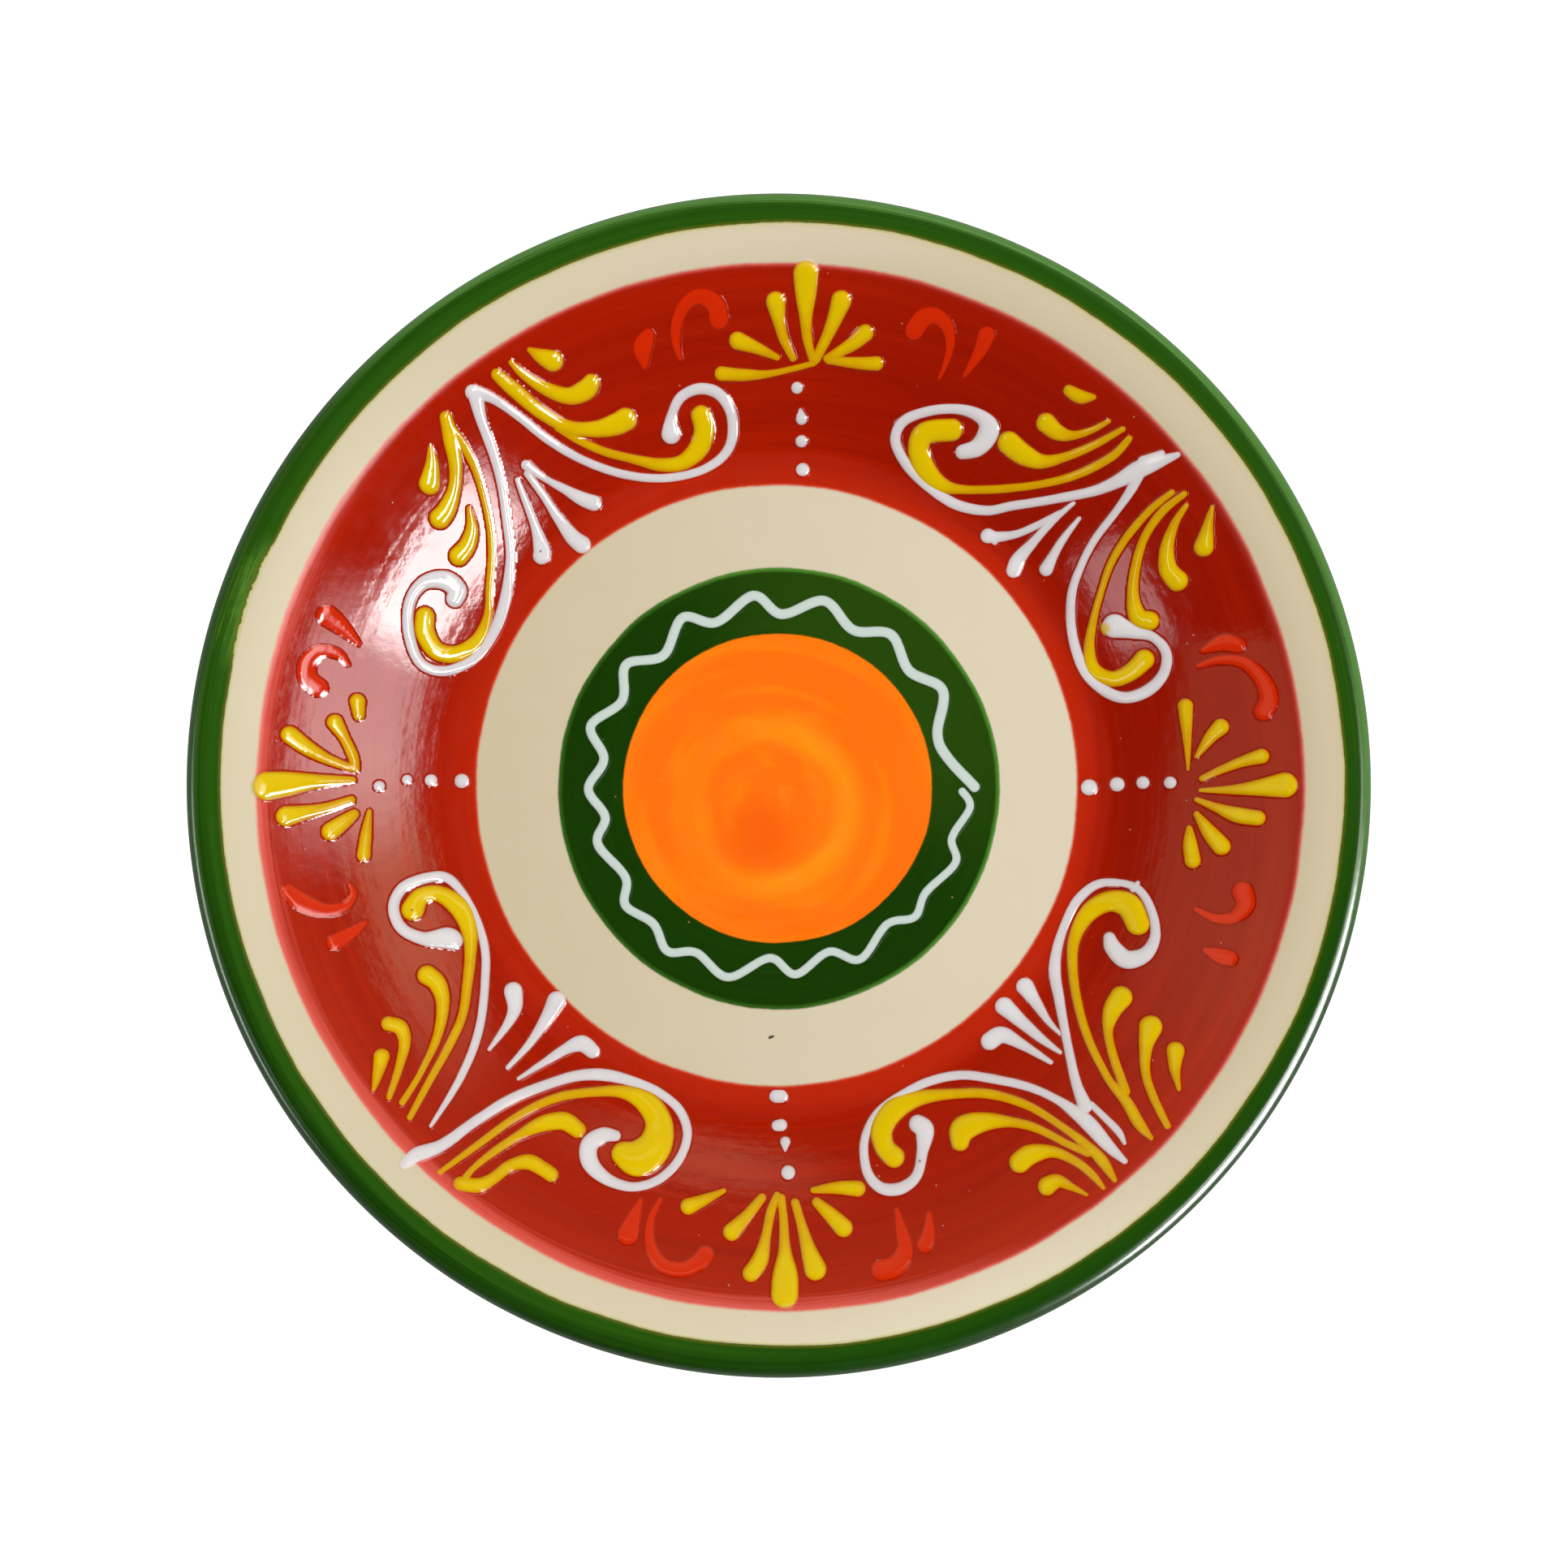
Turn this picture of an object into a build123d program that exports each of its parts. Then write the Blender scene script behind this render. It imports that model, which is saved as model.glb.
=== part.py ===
from build123d import *

import os
from math import cos, hypot, radians, sin

# A hand-painted ceramic plate: banded glazes on a turned body, and a pattern of raised, trailed slip.
#
# The plate is turned about +Z and stands on its foot ring at Z = 0, with the origin on its axis.
# Plan directions are named like a compass: north is +Y and east is +X. Sizes are millimetres.
# A stroke of trailed slip is a list of (x, y, half width) stations, in plan, along its centre line.

# Driving dimensions of the plate
PLATE_RADIUS = 100.0
FLOOR_Z = 7.8            # top of the glaze at the centre of the well
FLOOR_RADIUS = 55.25     # the well is flat out to here
BODY_THICKNESS = 5.0     # glaze to glaze, through floor and wall
GLAZE = 0.3              # thickness of one glaze coat

# The meridian of the upper surface: slopes, and the radii of the arcs that join them
WALL_FOOT_SLOPE = radians(26)
WALL_TOP_SLOPE = radians(36)
RIM_SLOPE = radians(12)
KNEE_RADIUS = 8.0        # floor to wall
WALL_TOP_R = 88.0        # plan radius where the wall starts to flatten into the rim
LIP_RADIUS = 3.0         # upper, outer rounding of the lip
LIP_START_R = PLATE_RADIUS - LIP_RADIUS * (1 + sin(RIM_SLOPE))

# Foot ring
FOOT_OUTER_R = 56.5
FOOT_INNER_R = 50.5
FOOT_DRAFT = 0.6         # the foot narrows by this much on each side towards the ground
FOOT_ROUNDING = 0.8

# Plan radii of the painted bands
ORANGE_R = 26.6
DARK_GREEN_R = 38.0
INNER_CREAM_R = 51.7
RED_R = 88.8
OUTER_CREAM_R = 94.6

RELIEF = 0.8             # height of the trailed slip above the glaze
SMALLEST_SCRAP = 0.5     # square millimetres; where strokes cross, leftovers below this are dropped


# ---------------------------------------------------------------- the trailed slip, stroke by stroke
SPRAYS = {
    "north": [
        [(4.6, 86.6, 2.1), (4.6, 83.6, 1.8), (4.6, 79.5, 1.05), (4.9, 76, 0.8), (5.7, 72.9, 0.6)],
        [(-0.5, 82.1, 1.65), (0, 79.2, 1.1), (0.9, 76, 0.8), (2.4, 73, 0.6)],
        [(-7, 75.8, 1.45), (-4, 74.7, 1.0), (-0.3, 73.1, 0.5)],
        [(-9.8, 70.4, 1.15), (-5.5, 70.2, 0.95), (-1, 70.5, 0.55), (6, 72.1, 0.45)],
        [(10.6, 82.2, 1.7), (9.3, 78.8, 1.2), (7.8, 75.6, 0.9), (6.3, 72.7, 0.75)],
        [(14.7, 77, 1.4), (12.2, 75, 1.1), (8.2, 72.9, 0.6)],
        [(16.7, 72, 1.15), (13.5, 72.1, 0.95), (8.5, 72.6, 0.6)],
    ],
    "east": [
        [(69.5, 13.6, 1.25), (69.7, 10, 0.9), (69.9, 6, 0.5), (70, 2.8, 0.25)],
        [(75.3, 10, 1.35), (73.6, 8.2, 1.0), (71.4, 5, 0.35)],
        [(81.9, 5, 1.25), (78.6, 4, 0.85), (75.2, 2.6, 0.65), (72.3, 1.2, 0.5)],
        [(85.6, 0.1, 2.1), (82, -0.3, 1.45), (77.5, -0.7, 0.8), (72, -0.8, 0.3)],
        [(81.3, -5.5, 1.25), (78, -5, 1.3), (75, -3.9, 0.8), (71.4, -2.4, 0.4)],
        [(75.4, -10.3, 1.5), (73.5, -8, 1.25), (71.4, -4.9, 0.5)],
        [(70.7, -12.8, 1.3), (70.3, -10, 1.15), (70.2, -7.3, 0.5)],
    ],
    "south": [
        [(-15.4, -71.8, 1.35), (-12.6, -70.7, 0.9), (-9.4, -69.3, 0.4)],
        [(-8, -76, 1.45), (-5.6, -73.6, 1.0), (-2.9, -70.5, 0.75)],
        [(-4.7, -82.7, 1.4), (-3.2, -80.6, 1.4), (-2.2, -76.8, 0.8), (-1.3, -72.6, 0.75),
         (-0.3, -70, 0.55)],
        [(1, -86, 2.3), (1.1, -83, 2.1), (1, -78.8, 1.0), (0.8, -74, 0.7), (0.4, -70.5, 0.7)],
        [(6.2, -82, 1.85), (5.1, -79, 1.3), (3.9, -75, 0.8), (2.8, -71.3, 0.7)],
        [(11, -75.3, 1.55), (8.8, -73.2, 1.2), (6.5, -71.2, 0.8)],
        [(13.5, -68.9, 1.3), (9.8, -68.8, 1.0), (5.9, -69.2, 0.5)],
    ],
    "west": [
        [(-71.9, 14.4, 1.25), (-71.7, 12, 0.9)],
        [(-75.6, 10.8, 1.3), (-74, 8, 0.85), (-72.7, 5, 0.85), (-72.2, 2.8, 0.6)],
        [(-82.9, 8.6, 1.45), (-80.2, 6.5, 1.25), (-76.8, 4.5, 0.85), (-73, 3, 0.6)],
        [(-86.5, -0.1, 2.4), (-83, 0.3, 2.0), (-78.5, 0.7, 1.2), (-72.8, 0.9, 0.6)],
        [(-83.4, -5.2, 1.7), (-80.5, -4.6, 1.2), (-77, -3.8, 0.85), (-73, -2.5, 0.7)],
        [(-76.3, -7.8, 1.5), (-74.2, -6.2, 1.2), (-72.5, -4.9, 0.8)],
        [(-70, -4.4, 0.35), (-70.5, -8, 0.85), (-70.9, -11.9, 1.1)],
    ],
}

DOTS = {
    "north": [
        [(3.1, 68.1, 0.95)],
        [(3.7, 64.5, 0.25), (3.9, 62.9, 0.95)],
        [(3.9, 59.2, 1.0)],
        [(4.1, 54.4, 1.1)],
    ],
    "east": [
        [(53.4, -0.3, 1.35)],
        [(58.2, 0.2, 1.2)],
        [(62.5, 0.5, 1.05)],
        [(67, 0.5, 1.0)],
    ],
    "south": [
        [(-0.5, -53.5, 1.1), (0.4, -53.5, 1.1)],
        [(-0.3, -58.5, 0.9), (0.4, -58.4, 1.0)],
        [(1.1, -61.2, 0.85), (1.1, -62.7, 0.2)],
        [(1.6, -66.3, 1.15)],
    ],
    "west": [
        [(-68.4, -0.1, 0.9)],
        [(-63.8, 1, 0.8)],
        [(-59.8, 0.9, 1.0)],
        [(-54.6, 0.8, 1.2)],
    ],
}

# Each side of a spray has a pair of comma strokes
COMMAS = {
    "north_right": [
        [(23, 77.3, 1.5), (24.4, 79.2, 1.5), (26.6, 79.6, 1.2), (28.6, 77.8, 1.0), (29.1, 74.8, 0.7),
         (28.4, 71.8, 0.45), (27.3, 69.4, 0.25)],
        [(35.2, 76.3, 1.4), (34, 73.5, 1.0), (31.6, 69.8, 0.3)],
    ],
    "north_left": [
        [(-10.2, 79.3, 1.6), (-10.8, 81.6, 1.5), (-13.4, 82.9, 1.2), (-16, 81.4, 1.0),
         (-17.4, 78.3, 0.9), (-17.5, 75.3, 0.65), (-16.8, 72.7, 0.3)],
        [(-22.2, 76.6, 1.0), (-23.2, 74.4, 1.5), (-22.8, 71.3, 0.35)],
    ],
    "west_upper": [
        [(-76.6, 28.8, 1.7), (-74.4, 27, 1.3), (-71.6, 24.2, 0.4)],
        [(-73.4, 20.6, 0.35), (-75, 22.4, 0.8), (-77.8, 22.8, 1.1), (-79.9, 20.8, 1.4),
         (-79.9, 18.2, 1.5), (-78.2, 16.6, 1.5)],
    ],
    "west_lower": [
        [(-83.1, -17.8, 1.0), (-80.8, -19.8, 1.4), (-77.2, -21.2, 1.1), (-74, -20.6, 0.8),
         (-72.6, -18.6, 0.55), (-73.1, -16.9, 0.3)],
        [(-75.4, -26.6, 1.3), (-73, -25.2, 1.0), (-70.6, -23.4, 0.4)],
    ],
    "south_left": [
        [(-23.6, -70.8, 0.35), (-24.8, -73.8, 1.1), (-25.6, -76.2, 1.7)],
        [(-20.2, -70.6, 0.35), (-21.8, -74, 0.6), (-21.8, -78, 0.85), (-19.8, -81.2, 1.05),
         (-16.4, -82, 1.15), (-13.6, -80.9, 1.3), (-12.5, -79.7, 1.4)],
    ],
    "south_right": [
        [(20.1, -72.4, 0.35), (20.9, -75.8, 0.9), (21.4, -79, 1.3), (19.8, -81.4, 1.6),
         (17.4, -82.1, 1.6)],
        [(25.6, -72.9, 0.35), (25.5, -76, 1.0), (24.8, -78, 1.2)],
    ],
    "east_upper": [
        [(72.3, 23, 0.4), (75.5, 24.3, 1.3), (78, 23.8, 1.2)],
        [(71.6, 20.4, 0.35), (75.2, 21.4, 0.7), (79, 20.8, 0.9), (81.9, 18, 1.2), (83, 14.8, 1.45),
         (82.2, 12.6, 1.5)],
    ],
    "east_lower": [
        [(71.2, -21.1, 0.35), (74.4, -22.6, 0.7), (77.4, -22.3, 0.95), (79.2, -20.2, 1.4),
         (78.8, -18, 1.6)],
        [(72.6, -28, 0.4), (75, -28.9, 1.2), (76.6, -29.3, 1.2)],
    ],
}

# Two long scrolls cross each corner and curl in at their far ends
SCROLLS = {
    "northeast": [
        [(67.4, 55.9, 0.5), (64.6, 54.9, 1.0), (61.2, 53.7, 1.5), (57.5, 51.7, 1.1),
         (53.5, 50.2, 0.85), (46.6, 48.95, 0.75), (40, 48, 0.75), (35.7, 47.3, 0.8),
         (30.5, 48.4, 0.9), (25.7, 51.5, 0.85), (21.9, 55.3, 0.85), (20, 59.4, 0.85),
         (21.6, 62.6, 0.85), (26.5, 64.2, 0.8), (31.5, 64.2, 0.85), (34.9, 62.7, 1.2),
         (35.9, 60.6, 1.75), (34.2, 58, 1.5), (31.5, 57.2, 1.2)],
        [(61.8, 54.9, 1.0), (64.8, 56.2, 0.55)],
        [(61.2, 53, 1.0), (59.9, 50.3, 0.8), (57.5, 46.7, 0.65), (54.2, 42.3, 0.65),
         (51.8, 37.6, 0.65), (50.3, 32.5, 0.75), (50.5, 26.2, 0.8), (52.4, 20.2, 0.9),
         (55.7, 16.6, 0.95), (59.5, 15.1, 0.95), (63.4, 16.4, 1.0), (65.9, 19.3, 0.9),
         (66.2, 22.8, 0.85), (64, 25.4, 0.8), (60.6, 26.4, 1.2), (57.6, 27.4, 2.0)],
    ],
    "northwest": [
        [(-51.8, 66.6, 1.3), (-48.6, 65.7, 0.8), (-44.2, 62.8, 0.7), (-39.6, 59.2, 0.7),
         (-34, 56, 0.7), (-27.5, 53.7, 0.7), (-21, 52.9, 0.7), (-15, 53.7, 0.7),
         (-10.6, 55.8, 0.75), (-8.2, 59, 0.85), (-8.1, 63.6, 0.9), (-10.2, 67, 0.95),
         (-13.6, 67.9, 0.9), (-16.8, 66.4, 0.85), (-18.4, 63.2, 0.85), (-18.5, 60.3, 1.6)],
        [(-51.4, 66.3, 1.3), (-50.5, 62, 0.9), (-48.8, 57, 0.8), (-47.4, 51.5, 0.75),
         (-46.6, 45, 0.75), (-46.1, 39.5, 0.8), (-46.8, 33.4, 0.95), (-48.7, 27.2, 0.95),
         (-52.2, 22.1, 0.85), (-57.2, 19.7, 0.85), (-61.4, 21, 0.85), (-63.3, 26, 0.9),
         (-63.1, 31.2, 0.9), (-60.8, 34.6, 1.1), (-57.3, 35.2, 1.6), (-55.2, 33.6, 1.6),
         (-55.6, 32, 1.4)],
    ],
    "southwest": [
        [(-63.2, -63.9, 0.7), (-61.2, -62.4, 1.2), (-57, -60.9, 1.0), (-52, -57.4, 0.85),
         (-46.2, -53.8, 0.85), (-40.4, -51.5, 0.85), (-34.8, -49.9, 0.9), (-30, -49.8, 1.0),
         (-25, -51, 0.85), (-20.4, -53, 0.75), (-17, -56, 0.75), (-15.7, -60, 0.75),
         (-17.2, -64.2, 0.75), (-20.6, -67.4, 0.75), (-25, -68.5, 0.75), (-29.4, -67.1, 1.0),
         (-32.2, -64.4, 1.4), (-32.4, -61.5, 1.5), (-30.2, -59.9, 1.3), (-28, -60, 0.9)],
        [(-59, -57.7, 0.3), (-56.6, -53.9, 0.5), (-54.2, -49.6, 0.65), (-52.2, -44.8, 0.7),
         (-51, -39.8, 0.7), (-50.5, -34, 0.7), (-50.5, -28.8, 0.7), (-51.7, -23.8, 0.65),
         (-54, -19.2, 0.65), (-57, -15.9, 0.8), (-60.6, -15.9, 0.9), (-64.4, -17.5, 0.9),
         (-65.9, -20.8, 0.9), (-64.6, -24.3, 0.95), (-61, -26.2, 1.1), (-57, -26.2, 1.8),
         (-55.8, -26.7, 1.5)],
    ],
    "southeast": [
        [(58.5, -63.5, 0.5), (56, -61.2, 1.0), (53, -57.8, 1.3), (50.8, -55.9, 1.1),
         (47.6, -53.7, 0.7), (43, -51.7, 0.7), (37.5, -50.5, 0.75), (31.5, -49.8, 0.75),
         (26, -50.9, 0.75), (21, -53.3, 0.7), (16.8, -56.5, 0.65), (14.7, -61, 0.7),
         (15.1, -66, 0.8), (17.4, -68.7, 0.95), (20.8, -68.8, 1.0), (23.6, -66.6, 0.85),
         (24.6, -62.6, 0.95), (25, -59.2, 1.6), (23.9, -58.1, 1.5)],
        [(53.2, -54.3, 0.5), (56, -57, 0.6), (57.7, -58.8, 0.6), (58.6, -60.6, 0.3)],
        [(52.2, -54.6, 1.2), (50.8, -50.8, 0.85), (49.8, -46, 0.75), (49, -41.6, 0.75),
         (48.2, -36.8, 0.85), (47.5, -32.2, 1.0), (47.9, -28.2, 0.85), (49.3, -23.8, 0.75),
         (51.4, -19.8, 0.8), (54.6, -17.1, 0.75), (58.4, -16.7, 0.6), (61.8, -17.9, 0.7),
         (63.8, -21.4, 0.75), (64.4, -25.6, 0.85), (62.8, -28.8, 1.2), (59.6, -29.8, 1.55),
         (57.4, -27.9, 1.4), (56.8, -26.2, 1.0)],
    ],
}

# Three short strokes fan out on the inner side of each pair of scrolls
FANS = {
    "northeast": [
        [(48.2, 46.7, 0.5), (44.6, 44.8, 0.6), (41, 43.3, 0.65), (37.6, 42.8, 0.9), (36, 43, 1.25)],
        [(50.4, 48.3, 0.35), (47, 45.4, 0.6), (43.6, 41.7, 0.8), (41.2, 38.9, 1.2), (40.4, 37, 1.2)],
        [(51.4, 45.7, 0.35), (49, 42.6, 0.6), (47.2, 39.6, 0.8), (46, 37.2, 1.15)],
    ],
    "northwest": [
        [(-43.2, 54.8, 0.85), (-40.4, 52.8, 0.55), (-37, 51, 0.75), (-34, 49.4, 1.15),
         (-31.8, 48.6, 1.3)],
        [(-43, 53.4, 0.6), (-40.4, 49.8, 0.65), (-38, 46.1, 0.85), (-35.6, 42.9, 1.3),
         (-33.9, 41.5, 1.5)],
        [(-44.7, 52.3, 0.45), (-43.3, 48.6, 0.65), (-41.8, 44.5, 0.8), (-40.8, 40.8, 1.4),
         (-40.8, 39.6, 1.5)],
    ],
    "southwest": [
        [(-45.7, -35.4, 1.55), (-45.4, -38.2, 1.2), (-46.6, -41, 0.75), (-49.6, -45.2, 0.3)],
        [(-38.3, -37, 1.55), (-40, -40.1, 1.1), (-42.8, -44.3, 0.65), (-46.4, -48.3, 0.4)],
        [(-32.1, -45.7, 1.25), (-34, -44.4, 1.4), (-36.8, -45.4, 0.9), (-40.4, -47.6, 0.6),
         (-44.6, -50.2, 0.3)],
    ],
    "southeast": [
        [(36.3, -44, 1.5), (38.4, -42.9, 1.4), (41.6, -44.4, 0.9), (46.6, -47.4, 0.4)],
        [(38.8, -38, 1.55), (41.4, -40.3, 1.15), (45, -43.4, 0.75), (48.2, -45.7, 0.35)],
        [(42.4, -34.6, 1.5), (44.4, -37.6, 0.95), (46.4, -40.6, 0.55), (48.4, -42.7, 0.3)],
    ],
}

# Leaves follow the two scrolls of a corner: the first group runs beside the scroll nearer north or
# south, the second beside the scroll nearer east or west
LEAVES = {
    "northeast": (
        [
            [(59.4, 58.8, 0.55), (56.6, 55.9, 0.7), (51, 53.1, 0.7), (45, 51.6, 0.65),
             (38, 50.9, 0.7), (31.5, 50.9, 0.75), (28, 51.7, 1.3), (25.2, 54.3, 1.8),
             (24, 57.8, 1.8), (25.2, 60.4, 1.9), (29.6, 60.9, 1.85)],
            [(39.3, 58.6, 1.9), (41.8, 56.6, 1.75), (44.8, 55.4, 1.2), (48.3, 55.9, 0.8),
             (53.4, 57.8, 0.65), (58.3, 60.4, 0.45)],
            [(45.5, 61.8, 1.6), (47.4, 60.2, 1.3), (50, 59.6, 0.75), (53.2, 60.4, 0.55),
             (55.9, 61.8, 0.4)],
            [(49.2, 67, 0.9), (51.2, 65.9, 1.1), (53.3, 65.8, 0.45)],
        ],
        [
            [(66.7, 49.7, 0.5), (63.2, 46.9, 0.6), (59.4, 42.4, 0.65), (56.8, 37.9, 0.6),
             (55.2, 33, 0.55), (54, 28.2, 0.65), (53.4, 23.6, 0.9), (54.2, 19.9, 1.25),
             (57.4, 18.3, 1.3), (60.4, 19.5, 1.5), (62.6, 21.6, 1.7)],
            [(68.7, 49.4, 0.5), (65.2, 46.6, 0.7), (62.3, 42.2, 0.7), (60.9, 37, 0.8),
             (60.6, 32.4, 1.0), (61.5, 28.9, 1.5), (63.4, 28.2, 1.6)],
            [(69.1, 47.5, 0.4), (67.3, 44.6, 0.7), (66.1, 40.6, 1.1), (66.3, 37, 1.5),
             (67.9, 34.9, 1.75)],
            [(73.3, 47.1, 0.35), (72.7, 44.2, 0.8), (72.1, 40.5, 1.6)],
        ],
    ),
    "northwest": (
        [
            [(-37.8, 61.2, 0.6), (-34.6, 59.3, 0.65), (-30, 57.3, 0.7), (-25, 56.1, 0.75),
             (-20.5, 55.2, 1.1), (-16.6, 55.6, 1.3), (-13.8, 58, 1.7), (-12.8, 61, 1.75),
             (-13.3, 63.4, 1.75)],
            [(-47.7, 69.6, 1.0), (-44.9, 67.2, 1.25), (-40.6, 63.7, 1.15), (-36, 61.3, 1.1),
             (-31.4, 61, 1.35), (-28, 61.8, 1.8), (-26.2, 62.7, 1.9)],
            [(-45.3, 71.7, 0.45), (-43.2, 69.7, 0.75), (-39.6, 67.5, 1.1), (-35.8, 66.4, 1.4),
             (-33, 67.4, 1.7), (-31.9, 68.7, 1.4)],
            [(-42.2, 73.8, 0.4), (-40.3, 72.8, 1.2), (-38.4, 72.1, 1.75)],
        ],
        [
            [(-55.6, 60.5, 0.9), (-53.2, 57.2, 0.75), (-51.2, 52.5, 0.65), (-49.7, 46, 0.6),
             (-49.2, 40.5, 0.65), (-49.7, 34, 0.65), (-50.1, 29, 0.75), (-52, 24.8, 1.2),
             (-55.5, 22.6, 1.4), (-58.8, 23.2, 1.5), (-60.6, 26.2, 1.6), (-60.6, 29, 1.55)],
            [(-56.4, 62.4, 1.0), (-55.6, 58.6, 1.3), (-55, 54.5, 1.1), (-55.3, 50.6, 1.05),
             (-56.6, 47.2, 1.5), (-57.8, 45.6, 1.7)],
            [(-52.9, 47.4, 0.4), (-52.5, 44, 1.0), (-53.3, 41.2, 1.4), (-54.8, 39.3, 1.6)],
            [(-59.1, 57.4, 0.35), (-58.9, 54.6, 1.1), (-59.4, 51.3, 1.75)],
        ],
    ),
    "southwest": (
        [
            [(-57.3, -65.4, 0.4), (-51.2, -61.1, 0.6), (-44.5, -56.4, 0.65), (-38, -53.5, 0.75),
             (-31, -52.6, 0.8), (-26.3, -52.8, 1.15), (-22.7, -54.6, 1.9), (-20.6, -58, 2.3),
             (-21.3, -61.8, 2.9), (-24, -63.8, 3.0), (-26.6, -63, 2.0)],
            [(-53.2, -66.8, 0.7), (-51.9, -65, 0.5), (-48.6, -62.4, 0.65), (-44.4, -59.7, 0.75),
             (-40.6, -57.9, 1.3), (-36.9, -57.4, 1.5), (-34.4, -58.9, 1.35)],
            [(-53.9, -67.3, 1.1), (-50.8, -67.7, 1.2), (-48.4, -66.6, 1.0), (-45.6, -64.6, 1.0),
             (-42.6, -64.1, 1.25), (-40.3, -65.2, 1.2), (-38.7, -66.3, 1.15)],
        ],
        [
            [(-62.5, -56.2, 0.5), (-59.4, -50.2, 0.6), (-56.4, -44.6, 0.7), (-54.2, -39.4, 0.75),
             (-53.4, -33.5, 0.85), (-53, -28.6, 1.0), (-53.3, -24.6, 1.4), (-55, -20.9, 1.7),
             (-58.4, -18.6, 1.35), (-61.4, -19.1, 1.5), (-62.7, -21.2, 1.9)],
            [(-63.8, -53.7, 0.55), (-60.8, -48.6, 0.5), (-58.3, -42.8, 0.75), (-57.5, -37.4, 1.1),
             (-58.4, -34, 1.45), (-60.2, -32.4, 1.6)],
            [(-66, -52.8, 0.45), (-64.7, -48.6, 0.65), (-63.7, -44, 0.95), (-64.4, -41.3, 1.2),
             (-66.4, -40.5, 1.2)],
            [(-68.6, -51.5, 0.3), (-67.9, -48.6, 0.9), (-67.4, -46, 1.3)],
        ],
    ),
    "southeast": (
        [
            [(56.8, -66.7, 0.4), (54.8, -63.6, 0.95), (52.2, -61, 0.75), (47.8, -57.8, 0.6),
             (42.5, -54.7, 0.7), (36, -52.9, 0.8), (29.5, -53, 0.85), (24, -53.8, 1.3),
             (19.9, -55.7, 1.9), (17.7, -58.8, 1.9), (18.1, -61.8, 1.7), (19.7, -63.6, 1.8)],
            [(31, -61, 1.5), (31.6, -58.8, 2.1), (35, -57.6, 1.6), (39.4, -57.5, 0.9),
             (44, -58.5, 0.7), (49, -60.9, 0.6), (52.5, -62.4, 0.6)],
            [(41, -64.2, 1.7), (43, -62.8, 1.6), (46.6, -62.3, 0.95), (50.4, -63.8, 0.7),
             (53, -65.8, 0.65), (54.9, -68, 0.35)],
            [(45.5, -68, 1.5), (47.3, -67.1, 1.1), (49.6, -68, 0.6), (52.1, -69.2, 0.25)],
        ],
        [
            [(63, -59.6, 0.35), (61, -57.2, 0.95), (59, -53.6, 0.9), (56.2, -50, 0.65),
             (53, -43.4, 0.7), (51.2, -36.8, 0.75), (50.5, -30.6, 0.85), (51, -26, 1.05),
             (53.3, -21.9, 1.5), (56.8, -19.9, 1.75), (60, -20.6, 2.1), (61.5, -23.6, 2.0)],
            [(58.6, -36.2, 1.85), (57, -38.6, 1.5), (56.3, -42, 0.8), (57.2, -46.6, 0.75),
             (59, -52, 0.75)],
            [(63.4, -41.1, 1.9), (62.5, -44.6, 1.1), (62.4, -49, 0.75), (63.7, -53.2, 0.7),
             (65.7, -57.5, 0.55)],
            [(67.4, -45, 1.45), (67.2, -48, 0.9), (67.8, -51.4, 0.3)],
        ],
    ),
}

# The wavy line round the inner cream ring is one open stroke, through its turning points
WAVY_POINTS = [
    (31.6, -1), (32.9, -3.8), (29.8, -9), (30.4, -13.3), (25.3, -18.4), (23.4, -22.6), (18.6, -23.9),
    (14, -29.9), (8.6, -28.6), (2.9, -32.5), (-1.6, -29.7), (-8.8, -33), (-14.2, -28.8),
    (-19.2, -28.5), (-21.6, -23.8), (-26.4, -20.6), (-26.4, -15.8), (-31.2, -10), (-29.9, -5.4),
    (-32.8, -0.6), (-30.1, 4.6), (-32.4, 10.2), (-27, 14.6), (-26.3, 20.8), (-19.9, 22.4),
    (-16.6, 28.9), (-10.8, 28.1), (-4.4, 32.7), (0.5, 29.5), (7.8, 31.8), (12.8, 26.8),
    (19.3, 26), (22.4, 19.8), (28.2, 16.4), (27.3, 9), (28.9, 5), (33.7, -0.2),
]
WAVY_HALF_WIDTHS = (0.65, 0.9)   # where it starts, and where it ends


# ---------------------------------------------------------------- the turned body
def on_arc(centre, radius, slope, side):
    """The point of an arc where the surface has that slope; side is -1 below the centre, +1 above."""
    return (centre[0] - side * radius * sin(slope), centre[1] + side * radius * cos(slope))


knee_centre = (FLOOR_RADIUS, FLOOR_Z + KNEE_RADIUS)
wall_foot = on_arc(knee_centre, KNEE_RADIUS, WALL_FOOT_SLOPE, -1)
wall_radius = (WALL_TOP_R - wall_foot[0]) / (sin(WALL_TOP_SLOPE) - sin(WALL_FOOT_SLOPE))
wall_centre = (
    wall_foot[0] - wall_radius * sin(WALL_FOOT_SLOPE),
    wall_foot[1] + wall_radius * cos(WALL_FOOT_SLOPE),
)
wall_top = on_arc(wall_centre, wall_radius, WALL_TOP_SLOPE, -1)
shoulder_radius = (LIP_START_R - WALL_TOP_R) / (sin(WALL_TOP_SLOPE) - sin(RIM_SLOPE))
shoulder_centre = (
    wall_top[0] + shoulder_radius * sin(WALL_TOP_SLOPE),
    wall_top[1] - shoulder_radius * cos(WALL_TOP_SLOPE),
)
lip_start = on_arc(shoulder_centre, shoulder_radius, RIM_SLOPE, 1)
lip_centre = (PLATE_RADIUS - LIP_RADIUS, lip_start[1] - LIP_RADIUS * cos(RIM_SLOPE))

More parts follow.
